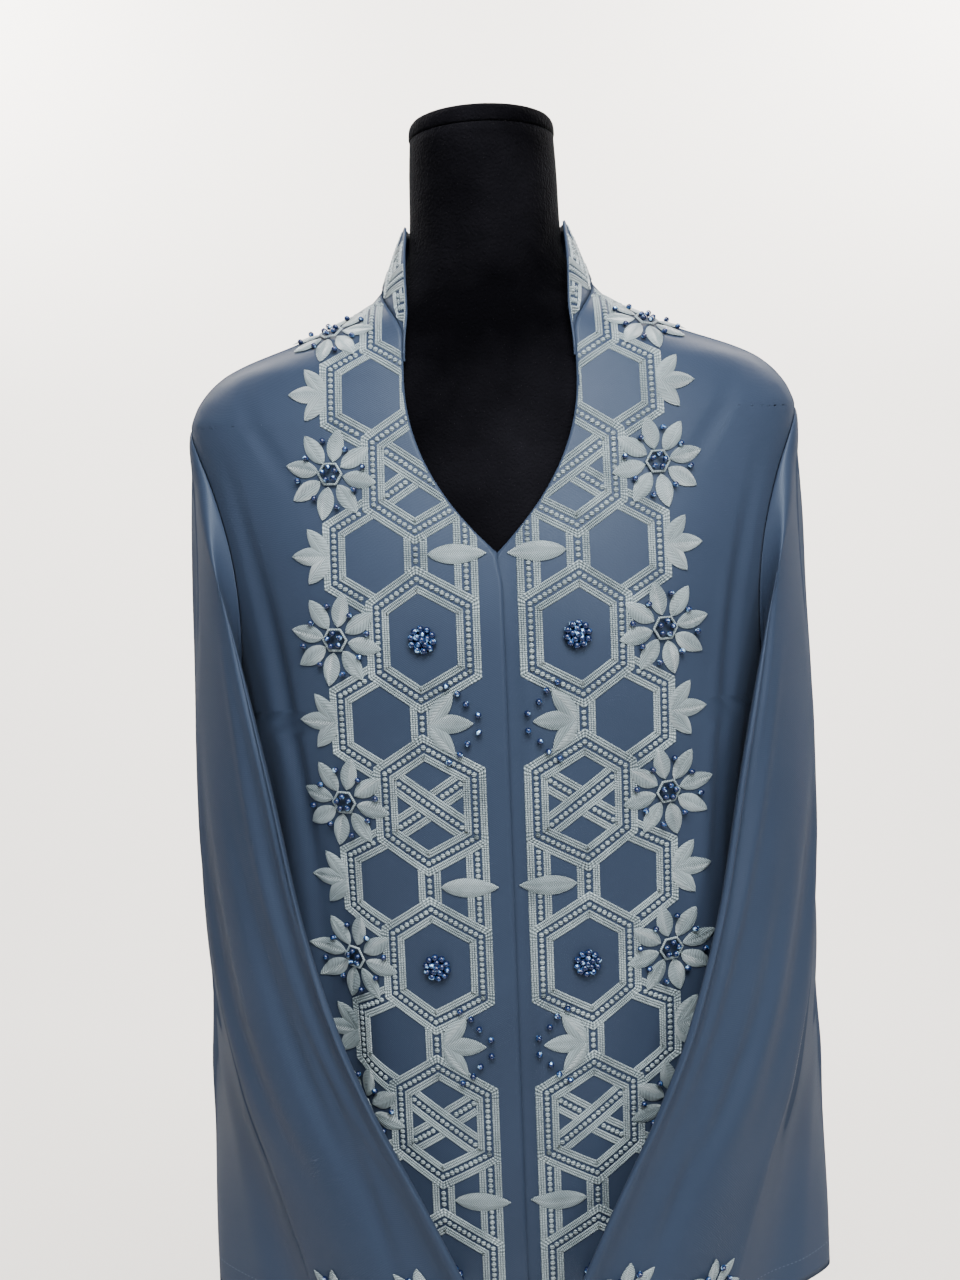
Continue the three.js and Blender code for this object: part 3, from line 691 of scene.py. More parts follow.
def wall_object(name, grid, wrap, material, thickness=WALL, turn=False):
    """A closed cloth wall from a grid of outer points and outward normals."""
    outer, normal = grid
    rows, columns = outer.shape[:2]
    inner = outer - normal * thickness
    points = np.concatenate([to_metres(outer), to_metres(inner)])
    half = rows * columns
    faces = [quads(rows, columns, wrap, 0, turn), quads(rows, columns, wrap, half, not turn)]
    ring = np.arange(columns)
    faces.append(rim_faces(ring, half, wrap, not turn))
    faces.append(rim_faces((rows - 1) * columns + ring, half, wrap, turn))
    if not wrap:
        line = np.arange(rows) * columns
        faces.append(rim_faces(line, half, False, turn))
        faces.append(rim_faces(line + columns - 1, half, False, not turn))
    steps_down = np.linalg.norm(np.diff(outer, axis=0), axis=-1)
    steps_across = np.linalg.norm(np.diff(outer, axis=1), axis=-1)
    down = np.concatenate([np.zeros((1, columns)), np.cumsum(steps_down, axis=0)])
    across = np.concatenate([np.zeros((rows, 1)), np.cumsum(steps_across, axis=1)], axis=1)
    uv = np.stack([across.ravel(), down.ravel()], axis=-1) * MM
    faces = np.concatenate(faces).tolist()
    obj = make_object(name, points, faces, material, np.concatenate([uv, uv]))
    return obj


def rim_faces(line, offset, wrap, flip):
    after = np.roll(line, -1)
    if not wrap:
        line, after = line[:-1], after[:-1]
    corners = [line, after, after + offset, line + offset]
    if flip:
        corners.reverse()
    return np.stack(corners, axis=-1)


# Colours along each material's ramp, as places and linear red, green and blue
CLOTH_TONES = [(0.3, (0.0175, 0.026, 0.0465)), (0.7, (0.021, 0.031, 0.055))]
VELVET_TONES = [(0.35, (0.0006, 0.0006, 0.001)), (0.7, (0.004, 0.004, 0.0055))]
# The thread's ramp is read by random patches of tone plus painted shade between stitches
THREAD_TONES = [(0.25, (0.042, 0.062, 0.074)), (0.75, (0.23, 0.29, 0.315))]
TONAL_TONES = [(0.3, (0.035, 0.055, 0.095)), (0.7, (0.05, 0.075, 0.125))]
# The pale top of the bead ramp is painted glints, on the few beads the noise picks
BEAD_TONES_AND_GLINTS = [(0.0, (0.002, 0.005, 0.022)), (0.55, (0.006, 0.015, 0.06)),
              (0.68, (0.02, 0.07, 0.2)), (0.75, (0.3, 0.5, 0.7))]
METAL_TONES = [(0.3, (0.3, 0.3, 0.31)), (0.7, (0.42, 0.42, 0.43))]
STAGE_TONES = [(0.05, (0.6, 0.585, 0.565)), (1.0, (0.82, 0.8, 0.77))]
ROOM_TONES = [(0.3, (0.05, 0.05, 0.054)), (0.55, (0.2, 0.198, 0.194)), (1.0, (0.8, 0.79, 0.77))]

# Strength of the cloth's gloss, from where it faces the camera to where it turns away
CLOTH_GLOSS = [(0.0, 0.3), (0.3, 0.2), (0.55, 0.07), (0.85, 0.0)]

TWILL_SHARE = 0.6
STITCH_SHADE_SHARE = 0.4
PATCH_SHARE = 0.6
STREAK_SCALE = (6, 6, 300)
STAGE_RISE_SHARE = 0.6
STAGE_PATCH_SHARE = 0.1


def set_inputs(node, **values):
    """Sets a node's inputs by name, with underscores for spaces."""
    for name, value in values.items():
        node.inputs[name.replace("_", " ")].default_value = value


def new_material(name, **inputs):
    """A material, its nodes, and its shader with the given inputs."""
    material = bpy.data.materials.new(name)
    material.use_nodes = True
    shader = material.node_tree.nodes["Principled BSDF"]
    set_inputs(shader, **inputs)
    return material, material.node_tree, shader


def colour_ramp(tree, source, stops):
    ramp = tree.nodes.new("ShaderNodeValToRGB")
    elements = ramp.color_ramp.elements
    while len(elements) < len(stops):
        elements.new(0.5)
    for element, (place, colour) in zip(elements, stops):
        element.position = place
        element.color = (*colour, 1)
    tree.links.new(source, ramp.inputs["Fac"])
    return ramp.outputs["Color"]


def paint(tree, shader, source, stops):
    tree.links.new(colour_ramp(tree, source, stops), shader.inputs["Base Color"])


def mapped(tree, output, scale=(1, 1, 1)):
    coordinates = tree.nodes.new("ShaderNodeTexCoord")
    mapping = tree.nodes.new("ShaderNodeMapping")
    mapping.inputs["Scale"].default_value = scale
    tree.links.new(coordinates.outputs[output], mapping.inputs["Vector"])
    return mapping.outputs["Vector"]


def add_bump(tree, shader, height, distance, strength):
    node = tree.nodes.new("ShaderNodeBump")
    set_inputs(node, Distance=distance, Strength=strength)
    tree.links.new(height, node.inputs["Height"])
    tree.links.new(node.outputs["Normal"], shader.inputs["Normal"])


def noise(tree, vector, scale, detail):
    node = tree.nodes.new("ShaderNodeTexNoise")
    set_inputs(node, Scale=scale, Detail=detail)
    tree.links.new(vector, node.inputs["Vector"])
    return node.outputs["Fac"]


def wave(tree, vector, scale, direction, distortion):
    node = tree.nodes.new("ShaderNodeTexWave")
    set_inputs(node, Scale=scale, Distortion=distortion)
    node.bands_direction = direction
    tree.links.new(vector, node.inputs["Vector"])
    return node.outputs["Fac"]


def math_node(tree, operation, first, second):
    node = tree.nodes.new("ShaderNodeMath")
    node.operation = operation
    for index, value in enumerate((first, second)):
        if isinstance(value, (int, float)):
            node.inputs[index].default_value = value
        else:
            tree.links.new(value, node.inputs[index])
    return node.outputs["Value"]


def cloth_material():
    """Soft satin crepe: a faint diagonal weave and slow changes of tone."""
    material, tree, shader = new_material(
        "satin_crepe", Roughness=0.4, IOR=1.32, Specular_Tint=(0.7, 0.84, 1, 1),
        Sheen_Weight=0.02, Sheen_Roughness=0.45, Sheen_Tint=(0.72, 0.8, 0.95, 1))
    uv = mapped(tree, "UV")
    paint(tree, shader, noise(tree, uv, scale=7, detail=3), CLOTH_TONES)
    facing = tree.nodes.new("ShaderNodeLayerWeight").outputs["Facing"]
    gloss = colour_ramp(tree, facing, [(place, (grey,) * 3) for place, grey in CLOTH_GLOSS])
    tree.links.new(gloss, shader.inputs["Specular IOR Level"])
    twill = wave(tree, uv, scale=420, direction="DIAGONAL", distortion=0.6)
    crepe = noise(tree, uv, scale=900, detail=1)
    weave = math_node(tree, "ADD", math_node(tree, "MULTIPLY", twill, TWILL_SHARE), crepe)
    add_bump(tree, shader, weave, distance=0.0002, strength=0.32)
    return material


def velvet_material():
    material, tree, shader = new_material(
        "black_velvet", Roughness=0.95, Specular_IOR_Level=0.015,
        Sheen_Weight=0.02, Sheen_Roughness=0.35, Sheen_Tint=(0.7, 0.74, 0.85, 1))
    place = mapped(tree, "Object")
    paint(tree, shader, noise(tree, place, scale=9, detail=4), VELVET_TONES)
    fine, coarse = (noise(tree, place, scale, detail=3) for scale in (500, 60))
    pile = math_node(tree, "ADD", fine, coarse)
    add_bump(tree, shader, pile, distance=0.0016, strength=0.9)
    return material


def thread_material():
    """Silver grey satin stitch, its threads laid across each cord and leaf, with painted shade in
    the grooves between stitches.
    """
    material, tree, shader = new_material(
        "satin_stitch", Roughness=0.4, Specular_IOR_Level=0.5,
        Sheen_Weight=0.08, Sheen_Tint=(0.85, 0.92, 1, 1))
    stitches = wave(tree, mapped(tree, "UV"), scale=250, direction="Y", distortion=1.2)
    patches = noise(tree, mapped(tree, "Object"), scale=40, detail=3)
    # Painted shade: the stitch wave darkens the thread where its bump sinks between stitches; the
    # patches are random tone
    tone = math_node(tree, "ADD", math_node(tree, "MULTIPLY", patches, PATCH_SHARE),
                     math_node(tree, "MULTIPLY", stitches, STITCH_SHADE_SHARE))
    paint(tree, shader, tone, THREAD_TONES)
    add_bump(tree, shader, stitches, distance=0.0005, strength=0.8)
    return material


def tonal_thread_material():
    """Sewing thread in the cloth's own colour."""
    material, tree, shader = new_material("tonal_thread", Roughness=0.6)
    paint(tree, shader, noise(tree, mapped(tree, "Object"), scale=200, detail=1), TONAL_TONES)
    return material


def bead_material():
    """Dark navy glass; a few beads are painted pale blue as painted glints."""
    material, tree, shader = new_material(
        "navy_glass", Metallic=0.25, Roughness=0.08, Specular_IOR_Level=0.6)
    paint(tree, shader, noise(tree, mapped(tree, "Object"), scale=430, detail=0), BEAD_TONES_AND_GLINTS)
    return material


def metal_material():
    material, tree, shader = new_material("satin_steel", Metallic=1.0, Roughness=0.34)
    streaks = noise(tree, mapped(tree, "Object", STREAK_SCALE), scale=4, detail=2)
    paint(tree, shader, streaks, METAL_TONES)
    add_bump(tree, shader, streaks, distance=0.0002, strength=0.2)
    return material


def stage_paint():
    """Pale paint, greyer where the floor is level than on the wall."""
    material, tree, shader = new_material("pale_paint", Roughness=0.9)
    place = mapped(tree, "Object")
    split = tree.nodes.new("ShaderNodeSeparateXYZ")
    tree.links.new(place, split.inputs["Vector"])
    rise = math_node(tree, "MULTIPLY", split.outputs["Z"], STAGE_RISE_SHARE)
    spots = noise(tree, place, scale=1.5, detail=3)
    patches = math_node(tree, "MULTIPLY", spots, STAGE_PATCH_SHARE)
    paint(tree, shader, math_node(tree, "ADD", rise, patches), STAGE_TONES)
    return material


CLOTH = cloth_material()
VELVET = velvet_material()
THREAD = thread_material()
TONAL_THREAD = tonal_thread_material()
BEAD = bead_material()
METAL = metal_material()


def make_form():
    """The velvet-covered torso and neck, and the cap on the neck."""
    shoulders = []
    for height in SHOULDER_HEIGHTS:
        half, front, back = (float(v) for v in body_size(np.array(height + SHOULDER_DROP)))
        shoulders.append((height, min(half, SHOULDER_HALF_LIMIT), front - CHEST_EASE,
                          back - CHEST_EASE))
    sections = table(("height", "half", "front", "back"), [*TORSO, *shoulders, *NECK])
    heights = [sections["height"][0]]
    for start, end in zip(sections["height"][:-1], sections["height"][1:]):
        steps = max(1, round((end - start) / FORM_ROW_STEP))
        heights.extend(np.linspace(start, end, steps + 1)[1:])
    heights = np.array(heights)
    sizes = [read(sections, "height", name, heights) for name in ("half", "front", "back")]
    torso = ring_object("form_velvet", heights, sizes, VELVET)
    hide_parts("form_torso")
    neck_top, *neck_sizes = NECK[-1]
    rise, inset = np.array(CAP).T
    cap_sizes = [size + CAP_LIP - inset for size in neck_sizes]
    cap = ring_object("form_cap_velvet", neck_top + CAP_GAP + rise, cap_sizes, VELVET)
    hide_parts("form_neck_cap")


def ring_object(name, heights, sizes, material):
    turn = np.arange(FORM_SIDES) * 2 * np.pi / FORM_SIDES
    half, front, back = (size[:, None] for size in sizes)
    depth = np.where(np.cos(turn)[None, :] > 0, front, back)
    points = np.stack([half * np.sin(turn), -depth * np.cos(turn),
                       np.broadcast_to(heights[:, None], depth.shape)], axis=-1)
    rows = len(heights)
    faces = quads(rows, FORM_SIDES, True).tolist()
    faces.append(list(range(FORM_SIDES))[::-1])
    faces.append(list(range((rows - 1) * FORM_SIDES, rows * FORM_SIDES)))
    obj = make_object(name, to_metres(points), faces, material)
    return obj


# Embroidery, laid out flat: x from the centre line outwards, t upwards from the point of the V
REPEAT = 230
STRAP_HALF = 8.1
STRAP_STEP = 3.2
STRAP_GAP = 0.4
CORD_OFFSETS = (-7.3, -5.6, -3.9, 3.9, 5.6, 7.3)
CORD_PROFILE = np.array([(-0.8, -0.15), (-0.55, 0.6), (0.0, 0.85), (0.55, 0.6), (0.8, -0.15)])
CORD_END = 0.1
MITRE_LEAST = 0.45
KNOT_STEP = 4.0
KNOT_RADIUS = 1.85
KNOT_HEIGHT = 1.25
KNOT_RINGS = ((1.0, -0.1), (0.88, 0.55), (0.5, 0.9))
KNOT_SIDES = 7
LEAF_ROWS = 14
LEAF_COLUMNS = 8
LEAF_HEIGHT = 1.15
LEAF_SINK = 0.1
LEAF_WIDEST = 0.9
LEAF_ROUNDNESS = 0.8
LEAF_EDGE = 0.15
LEAF_DOME = 2.4
LEAF_DOME_ENDS = 0.02
LEAF_VEIN = 0.6
LEAF_VEIN_HALF = 0.28
LEAF_SLANT = 0.7
LEAF_ON_CLOTH = (0.15, 1.0)
BEAD_SIDES = 8
BEAD_RINGS = 5
EDGE_MARGIN = 1.2
HEM_MARGIN = 34

# Flowers: shares of the radius for their parts, and heights over the cloth
FLOWER_TURN = 0.2
PETALS = 8
PETAL_FOOT = 0.27
PETAL_LENGTH = 0.73
PETAL_WIDTH = 0.36
PETAL_LIFT = 0.9
GAP_BEAD_REACH = (0.62, 0.72)
GAP_BEAD_LIFT = 0.5
FLOWER_RING = 0.25
FLOWER_RING_SIDES = 6
FLOWER_RING_LIFT = 1.9
HEART_BEADS = 5
HEART_REACH = 0.14
HEART_LIFT = 1.6
FLOWER_BEAD = 2.1

# Rosettes, rings of beads by share of the radius, and sprigs of three leaves
ROSETTE_RINGS = ((1.0, 10), (0.5, 5))
ROSETTE_TURN = 0.3
ROSETTE_BEAD = 2.5
ROSETTE_TOP = 1.2
FLAT_BEAD_LIFT = 0.2
SPRIG_LEAVES = ((-52, 0.9), (52, 0.9), (0, 1.0))
SPRIG_LIFT = 0.9
BROAD_LEAF = (30, 13)
BROAD_LEAF_LIFT = 1.0
SPRIG_BEADS = ((-64, 29), (-46, 29), (-28, 29), (-10, 34), (10, 34), (28, 29), (46, 29), (64, 29))
SPRIG_BEAD = 2.3

# Grid of the layout: heights from below the hem to the neck point, and widths from the centre
LAYOUT_STEP = 2.0
LAYOUT_HEIGHTS = np.arange(HEM_HEIGHT - 20.0, NECK_POINT_HEIGHT + 1.0, 1.0)
LAYOUT_WIDTHS = np.arange(0.0, 196.0, LAYOUT_STEP)
JUST_INSIDE = 0.999


def layout_lengths():
    """Length up the front from the V's level, for each width and height of the layout grid."""
    half, front, _ = body_size(LAYOUT_HEIGHTS)
    share = np.clip(LAYOUT_WIDTHS[:, None] / half[None, :], 0, 1)
    depth = -front[None, :] * np.sqrt(1 - share ** 2)
    steps = np.hypot(np.diff(depth, axis=1), np.diff(LAYOUT_HEIGHTS)[None, :])
    length = np.concatenate([np.zeros((len(LAYOUT_WIDTHS), 1)), np.cumsum(steps, axis=1)], axis=1)
    start = int(V_POINT_HEIGHT - LAYOUT_HEIGHTS[0])
    length -= length[:, start:start + 1]
    inside = half[None, :] > LAYOUT_WIDTHS[:, None]
    return length, inside


LAYOUT, LAYOUT_INSIDE = layout_lengths()


def layout_height(columns, t):
    """Heights of layout places, from the grid's column for each."""
    heights = np.empty(t.shape)
    for column in np.unique(columns):
        chosen = columns == column
        heights[chosen] = np.interp(t[chosen], LAYOUT[column], LAYOUT_HEIGHTS)
    return heights


def front_surface(side, x, t):
    """Point and normal of a front at a layout place."""
    column = np.clip(x / LAYOUT_STEP, 0, len(LAYOUT_WIDTHS) - 2 + JUST_INSIDE)
    low = column.astype(int)
    heights = lerp(layout_height(low, t), layout_height(low + 1, t), column - low)
    half = body_size(heights)[0]
    angle = np.degrees(np.arcsin(np.clip(x / half, -1, JUST_INSIDE)))
    return front_point(side, angle, heights)


def layout_top(x):
    """Length up the front at which it meets the shoulder seam."""
    last = LAYOUT_INSIDE.sum(axis=1) - 1
    tops = LAYOUT[np.arange(len(LAYOUT_WIDTHS)), last]
    return np.interp(x, LAYOUT_WIDTHS, tops)


def neck_limit(x, t):
    """Least x that embroidery may have, just inside the neckline."""
    nearest = np.clip(np.round(x / LAYOUT_STEP).astype(int), 0, len(LAYOUT_WIDTHS) - 1)
    height = layout_height(nearest, t)
    return np.where(height > V_POINT_HEIGHT, neckline_half(height), 0) + EDGE_MARGIN


def on_front(x, t):
    """Where the embroidery may lie: clear of the neckline, the shoulder seam and the hem."""
    low = -(V_POINT_HEIGHT - HEM_HEIGHT) + HEM_MARGIN
    return (x > neck_limit(x, t)) & (t < layout_top(x) - EDGE_MARGIN) & (t > low)


def front_stitches(side):
    """Surface for embroidery on a front: what would pass an edge is kept just inside it."""

    def surface(x, t):
        t = np.minimum(t, layout_top(x) - EDGE_MARGIN)
        return front_surface(side, np.maximum(x, neck_limit(x, t)), t)

    return surface


class Stitching:
    """Collects flat-laid pieces, then sets them all on a surface as one mesh."""

    def __init__(self, surface):
        self.surface = surface
        self.flat = []
        self.lift = []
        self.uv = []
        self.faces = []
        self.count = 0

    def add(self, flat, lift, uv, faces):
        self.flat.append(flat)
        self.lift.append(lift)
        self.uv.append(uv)
        self.faces.append(faces + self.count)
        self.count += len(flat)

    def build(self, name, material, slot):
        flat = np.concatenate(self.flat)
        point, normal = self.surface(flat[:, 0], flat[:, 1])
        raised = point + normal * np.concatenate(self.lift)[:, None]
        faces = [face[:3] if face[2] == face[3] else face
                 for face in np.concatenate(self.faces).tolist()]
        obj = make_object(name, to_metres(raised), faces, material, np.concatenate(self.uv))
        return obj


class Embroidery:
    """A panel's threads, knots and beads, and where on the panel they may lie."""

    def __init__(self, surface, allowed):
        self.allowed = allowed
        self.threads, self.knots, self.beads = (Stitching(surface) for _ in range(3))

    def build(self, name):
        kinds = (("thread", self.threads, THREAD, "embroidery"),
                 ("knots", self.knots, THREAD, "embroidery"),
                 ("beads", self.beads, BEAD, "beads"))
        return [stitching.build(f"{name}_{kind}", material, slot)
                for kind, stitching, material, slot in kinds if stitching.count]


def line_corners(line, closed):
    corners = np.array(line, float)
    return np.concatenate([corners, corners[:1]]) if closed else corners


def sample_line(line, closed, step):
    """Points along a line with the direction across it; corners are mitred."""
    corners = line_corners(line, closed)
    ahead = unit(np.diff(corners, axis=0))
    across = np.stack([-ahead[:, 1], ahead[:, 0]], axis=-1)
    points, sides, lengths = [], [], []
    travelled = 0.0
    for index, side in enumerate(across):
        start, end = corners[index], corners[index + 1]
        length = np.linalg.norm(end - start)
        count = max(2, int(round(length / step)))
        is_last = index + 1 == len(ahead)
        line_sides = [side] * (count + is_last)
        if closed or index > 0:
            line_sides[0] = mitre(across[index - 1], side)
        if closed and is_last:
            line_sides[-1] = mitre(side, across[0])
        share = np.arange(count + is_last) / count
        points.append(start + (end - start) * share[:, None])
        sides.extend(line_sides)
        lengths.append(travelled + length * share)
        travelled += length
    return np.concatenate(points), np.array(sides), np.concatenate(lengths)


def mitre(first, second):
    middle = unit((first + second)[None])[0]
    return middle / max(MITRE_LEAST, float(np.dot(middle, second)))


def runs(inside):
    """Start and end of each run of True values."""
    padded = np.concatenate([[False], inside, [False]]).astype(int)
    change = np.diff(padded)
    return zip(np.nonzero(change == 1)[0], np.nonzero(change == -1)[0])


def line_distance(points, line, closed):
    """Distance of each point from a line of straight segments."""
    corners = line_corners(line, closed)
    least = np.full(len(points), np.inf)
    for start, end in zip(corners[:-1], corners[1:]):
        ahead = end - start
        share = clamp01((points - start) @ ahead / (ahead @ ahead))
        nearest = start + share[:, None] * ahead
        least = np.minimum(least, np.linalg.norm(points - nearest, axis=1))
    return least


def uncovered(points, allowed, over):
    """Where a line may show: on the cloth, and not under the straps that cross over it."""
    shown = allowed(points[:, 0], points[:, 1])
    for line, closed in over:
        shown = shown & (line_distance(points, line, closed) > STRAP_HALF + STRAP_GAP)
    return shown


def add_cord(threads, points, sides, lengths, shown, closed, lift=0.0):
    for start, end in runs(shown):
        if end - start < 2:
            continue
        start, end = max(start - 1, 0), min(end + 1, len(points))
        chosen = slice(start, end)
        flat = points[chosen, None] + sides[chosen, None] * CORD_PROFILE[None, :, :1]
        ends = np.ones(end - start)
        if not (closed and end - start == len(points)):
            ends[0] = ends[-1] = CORD_END
        height = (CORD_PROFILE[None, :, 1] + lift) * ends[:, None]
        uv = np.stack([np.broadcast_to(CORD_PROFILE[:, 0], height.shape),
                       np.broadcast_to(lengths[chosen, None], height.shape)], axis=-1) * MM
        threads.add(flat.reshape(-1, 2), height.ravel(), uv.reshape(-1, 2),
                    quads(end - start, len(CORD_PROFILE), False, flip=True))


def add_strap(work, line, closed, over=()):
    """Three cords along each side of a row of round knots."""
    points, sides, lengths = sample_line(line, closed, STRAP_STEP)
    for offset in CORD_OFFSETS:
        moved_points = points + sides * offset
        shown = uncovered(moved_points, work.allowed, over)
        add_cord(work.threads, moved_points, sides, lengths, shown, closed)
    spots, _, _ = sample_line(line, closed, KNOT_STEP)
    for spot in spots[uncovered(spots, work.allowed, over)]:
        add_knot(work.knots, spot)


def circle(sides):
    turn = np.arange(sides) * 2 * np.pi / sides
    return np.stack([np.cos(turn), np.sin(turn)], axis=-1)


def toward(turn):
    """A step of 1 in the layout, at a turn in radians from straight outwards."""
    return np.array([math.cos(turn), math.sin(turn)])


def add_knot(knots, spot):
    rim = circle(KNOT_SIDES) * KNOT_RADIUS
    flat = np.concatenate([spot + rim * size for size, _ in KNOT_RINGS] + [spot[None]])
    height = [np.full(KNOT_SIDES, rise * KNOT_HEIGHT) for _, rise in KNOT_RINGS]
    height.append(np.array([KNOT_HEIGHT]))
    side = np.arange(KNOT_SIDES)
    last = (len(KNOT_RINGS) - 1) * KNOT_SIDES
    top = np.full(KNOT_SIDES, last + KNOT_SIDES)
    cap = np.stack([last + (side + 1) % KNOT_SIDES, last + side, top, top], axis=-1)
    faces = np.concatenate([quads(len(KNOT_RINGS), KNOT_SIDES, True, flip=True), cap])
    knots.add(flat, np.concatenate(height), flat * MM, faces)


def add_leaf(work, base, direction, length, width, lift):
    """A pointed leaf in two halves of slanting satin stitch, with a vein between them."""
    along = unit(np.array([direction], float))[0]
    across = np.array([-along[1], along[0]])
    base = np.array(base, float)
    on_cloth = base + along * length * np.array(LEAF_ON_CLOTH)[:, None]
    if not np.all(work.allowed(*on_cloth.T)):
        return
    u = np.linspace(0, 1, LEAF_ROWS)[:, None]
    v = np.linspace(-1, 1, LEAF_COLUMNS + 1)[None, :]
    half = width / 2 * np.sin(np.pi * u ** LEAF_WIDEST) ** LEAF_ROUNDNESS + LEAF_EDGE
    flat = base + along * (u * length)[..., None] + across * (v * half)[..., None]
    inside = lerp(LEAF_DOME_ENDS, 1 - LEAF_DOME_ENDS, u)
    dome = (1 - np.abs(v) ** LEAF_DOME) * np.sqrt(np.sin(np.pi * inside))
    height = lift - LEAF_SINK + LEAF_HEIGHT * dome * (1 - LEAF_VEIN * bump(v / LEAF_VEIN_HALF))
    slant = u * length + np.abs(v) * half * LEAF_SLANT
    uv = np.stack([v * half, slant], axis=-1) * MM
    work.threads.add(flat.reshape(-1, 2), height.ravel(), uv.reshape(-1, 2),
                     quads(LEAF_ROWS, LEAF_COLUMNS + 1, False, flip=True))


def add_flower(work, centre, radius):
    """Eight petals round a beaded centre, with a bead in each gap between them."""
    centre = np.array(centre, float)
    for number in range(PETALS):
        turn = FLOWER_TURN + 2 * np.pi * number / PETALS
        foot = centre + toward(turn) * radius * PETAL_FOOT
        add_leaf(work, foot, toward(turn), radius * PETAL_LENGTH, radius * PETAL_WIDTH, PETAL_LIFT)
        reach = radius * GAP_BEAD_REACH[number % 2]
        spot = centre + toward(turn + np.pi / PETALS) * reach
        add_bead(work, spot, FLOWER_BEAD, GAP_BEAD_LIFT)
    ring = centre + radius * FLOWER_RING * circle(FLOWER_RING_SIDES)
    points, sides, lengths = sample_line(ring, True, STRAP_STEP)
    shown = uncovered(points, work.allowed, ())
    add_cord(work.threads, points, sides, lengths, shown, True, FLOWER_RING_LIFT)
    for number in range(HEART_BEADS):
        turn = FLOWER_TURN + 2 * np.pi * number / HEART_BEADS
        spot = centre + toward(turn) * radius * HEART_REACH
        add_bead(work, spot, FLOWER_BEAD, HEART_LIFT)


def add_rosette(work, centre, radius):
    centre = np.array(centre, float)
    for share, count in ROSETTE_RINGS:
        for number in range(count):
            turn = 2 * np.pi * (number + ROSETTE_TURN) / count
            spot = centre + toward(turn) * radius * share
            add_bead(work, spot, ROSETTE_BEAD, FLAT_BEAD_LIFT)
    add_bead(work, centre, ROSETTE_BEAD, ROSETTE_TOP)


def add_bead(work, spot, radius, lift):
    """A round bead: its top, rings from the top down, and its foot."""
    if not work.allowed(spot[:1], spot[1:])[0]:
        return
    rim = circle(BEAD_SIDES) * radius
    polar = np.linspace(0, np.pi, BEAD_RINGS + 2)[1:-1]
    rings = [spot + rim * math.sin(angle) for angle in polar]
    flat = np.concatenate([spot[None], *rings, spot[None]])
    rises = np.repeat(1 + np.cos(polar), BEAD_SIDES)
    height = lift + radius * np.concatenate([[2], rises, [0]])
    side = np.arange(BEAD_SIDES)
    after = (side + 1) % BEAD_SIDES
    top = np.stack([np.zeros(BEAD_SIDES, int), 1 + side, 1 + after, 1 + after], axis=-1)
    low_ring = 1 + (BEAD_RINGS - 1) * BEAD_SIDES
    foot = np.full(BEAD_SIDES, low_ring + BEAD_SIDES)
    bottom = np.stack([foot, low_ring + after, low_ring + side, low_ring + side], axis=-1)
    faces = np.concatenate([quads(BEAD_RINGS, BEAD_SIDES, True, 1, flip=True), top, bottom])
    work.beads.add(flat, height, flat * MM, faces)


# One step of the strapwork, half a repeat long: hexagons, and the straps that join them
HALF_REPEAT = REPEAT / 2
PATTERN_START = -HALF_REPEAT / 2
HEXAGON = [(21, -22), (21, 22), (55, 41), (83, 22), (83, -22), (55, -41)]
OUTER_STRAP = [(83, 22), (112, 39), (112, 76), (83, 93)]
MIDDLE_STRAP = [(55, 41), (55, 74)]
INNER_LINK = [(21, 22), (21, 93)]
DIAGONAL = [(83, 22), (21, -22)]
BRANCHES = [[(21, 22), (53, 0.5)], [(83, -22), (51, -0.5)]]
FIRST_STEP = -11
LAST_STEP = 3
FLOWER_X = 113
FLOWER_RADIUS = 33
SPRIG_X = 116
EDGE_LEAF = (27, 12.5)
ROSETTE_X = 52
ROSETTE_RADIUS = 7.5
LINK_LEAF_X = 47
LINK_LEAF = (40, 13.5)
LINK_LEAF_LIFT = 1.0
BROAD_SPRIG_X = 50


def moved(line, up):
    return [(x, t + up) for x, t in line]


def add_sprig(work, base, facing, leaf, lift=SPRIG_LIFT):
    """Three leaves from one point, the middle one along facing."""
    length, width = leaf
    for turn, size in SPRIG_LEAVES:
        way = toward(math.radians(facing + turn))
        add_leaf(work, base, way, length * size, width * size, lift)


def add_beaded_sprig(work, base):
    """Three broad leaves that point to the centre line, edged with beads."""
    add_sprig(work, base, 180, BROAD_LEAF, BROAD_LEAF_LIFT)
    for turn, reach in SPRIG_BEADS:
        spot = np.array(base) + reach * toward(math.radians(180 + turn))
        add_bead(work, spot, SPRIG_BEAD, FLAT_BEAD_LIFT)


def embroider_front(side, name):
    work = Embroidery(front_stitches(side), on_front)
    hexagons = {number: moved(HEXAGON, PATTERN_START + number * HALF_REPEAT)
                for number in range(FIRST_STEP, LAST_STEP + 2)}
    for number in range(FIRST_STEP, LAST_STEP + 1):
        centre = PATTERN_START + number * HALF_REPEAT
        between = centre + HALF_REPEAT / 2
        is_even = number % 2 == 0
        near = [(hexagons[number], True), (hexagons[number + 1], True)]
        add_strap(work, hexagons[number], True)
        for line in [OUTER_STRAP, MIDDLE_STRAP] + ([INNER_LINK] if is_even else []):
            add_strap(work, moved(line, centre), False, near)
        if is_even:
            add_rosette(work, (ROSETTE_X, centre), ROSETTE_RADIUS)
            add_leaf(work, (LINK_LEAF_X, between), (-1, 0), *LINK_LEAF, LINK_LEAF_LIFT)
        else:
            diagonal = moved(DIAGONAL, centre)
            add_strap(work, diagonal, False, near[:1])
            for branch in BRANCHES:
                add_strap(work, moved(branch, centre), False, [near[0], (diagonal, False)])
            add_beaded_sprig(work, (BROAD_SPRIG_X, between))
        add_flower(work, (FLOWER_X, centre), FLOWER_RADIUS)
        add_sprig(work, (SPRIG_X, between), 0, EDGE_LEAF)
    return work.build(name)


# Embroidery of the collar: length along its base from one front end to the other, and rise
COLLAR_ZIGZAG_STEP = 31
COLLAR_LOW = 9
COLLAR_HIGH = 35
COLLAR_LEAST_RISE = 12
COLLAR_MARGIN = 1.5
COLLAR_EDGE = 1
COLLAR_END = 2


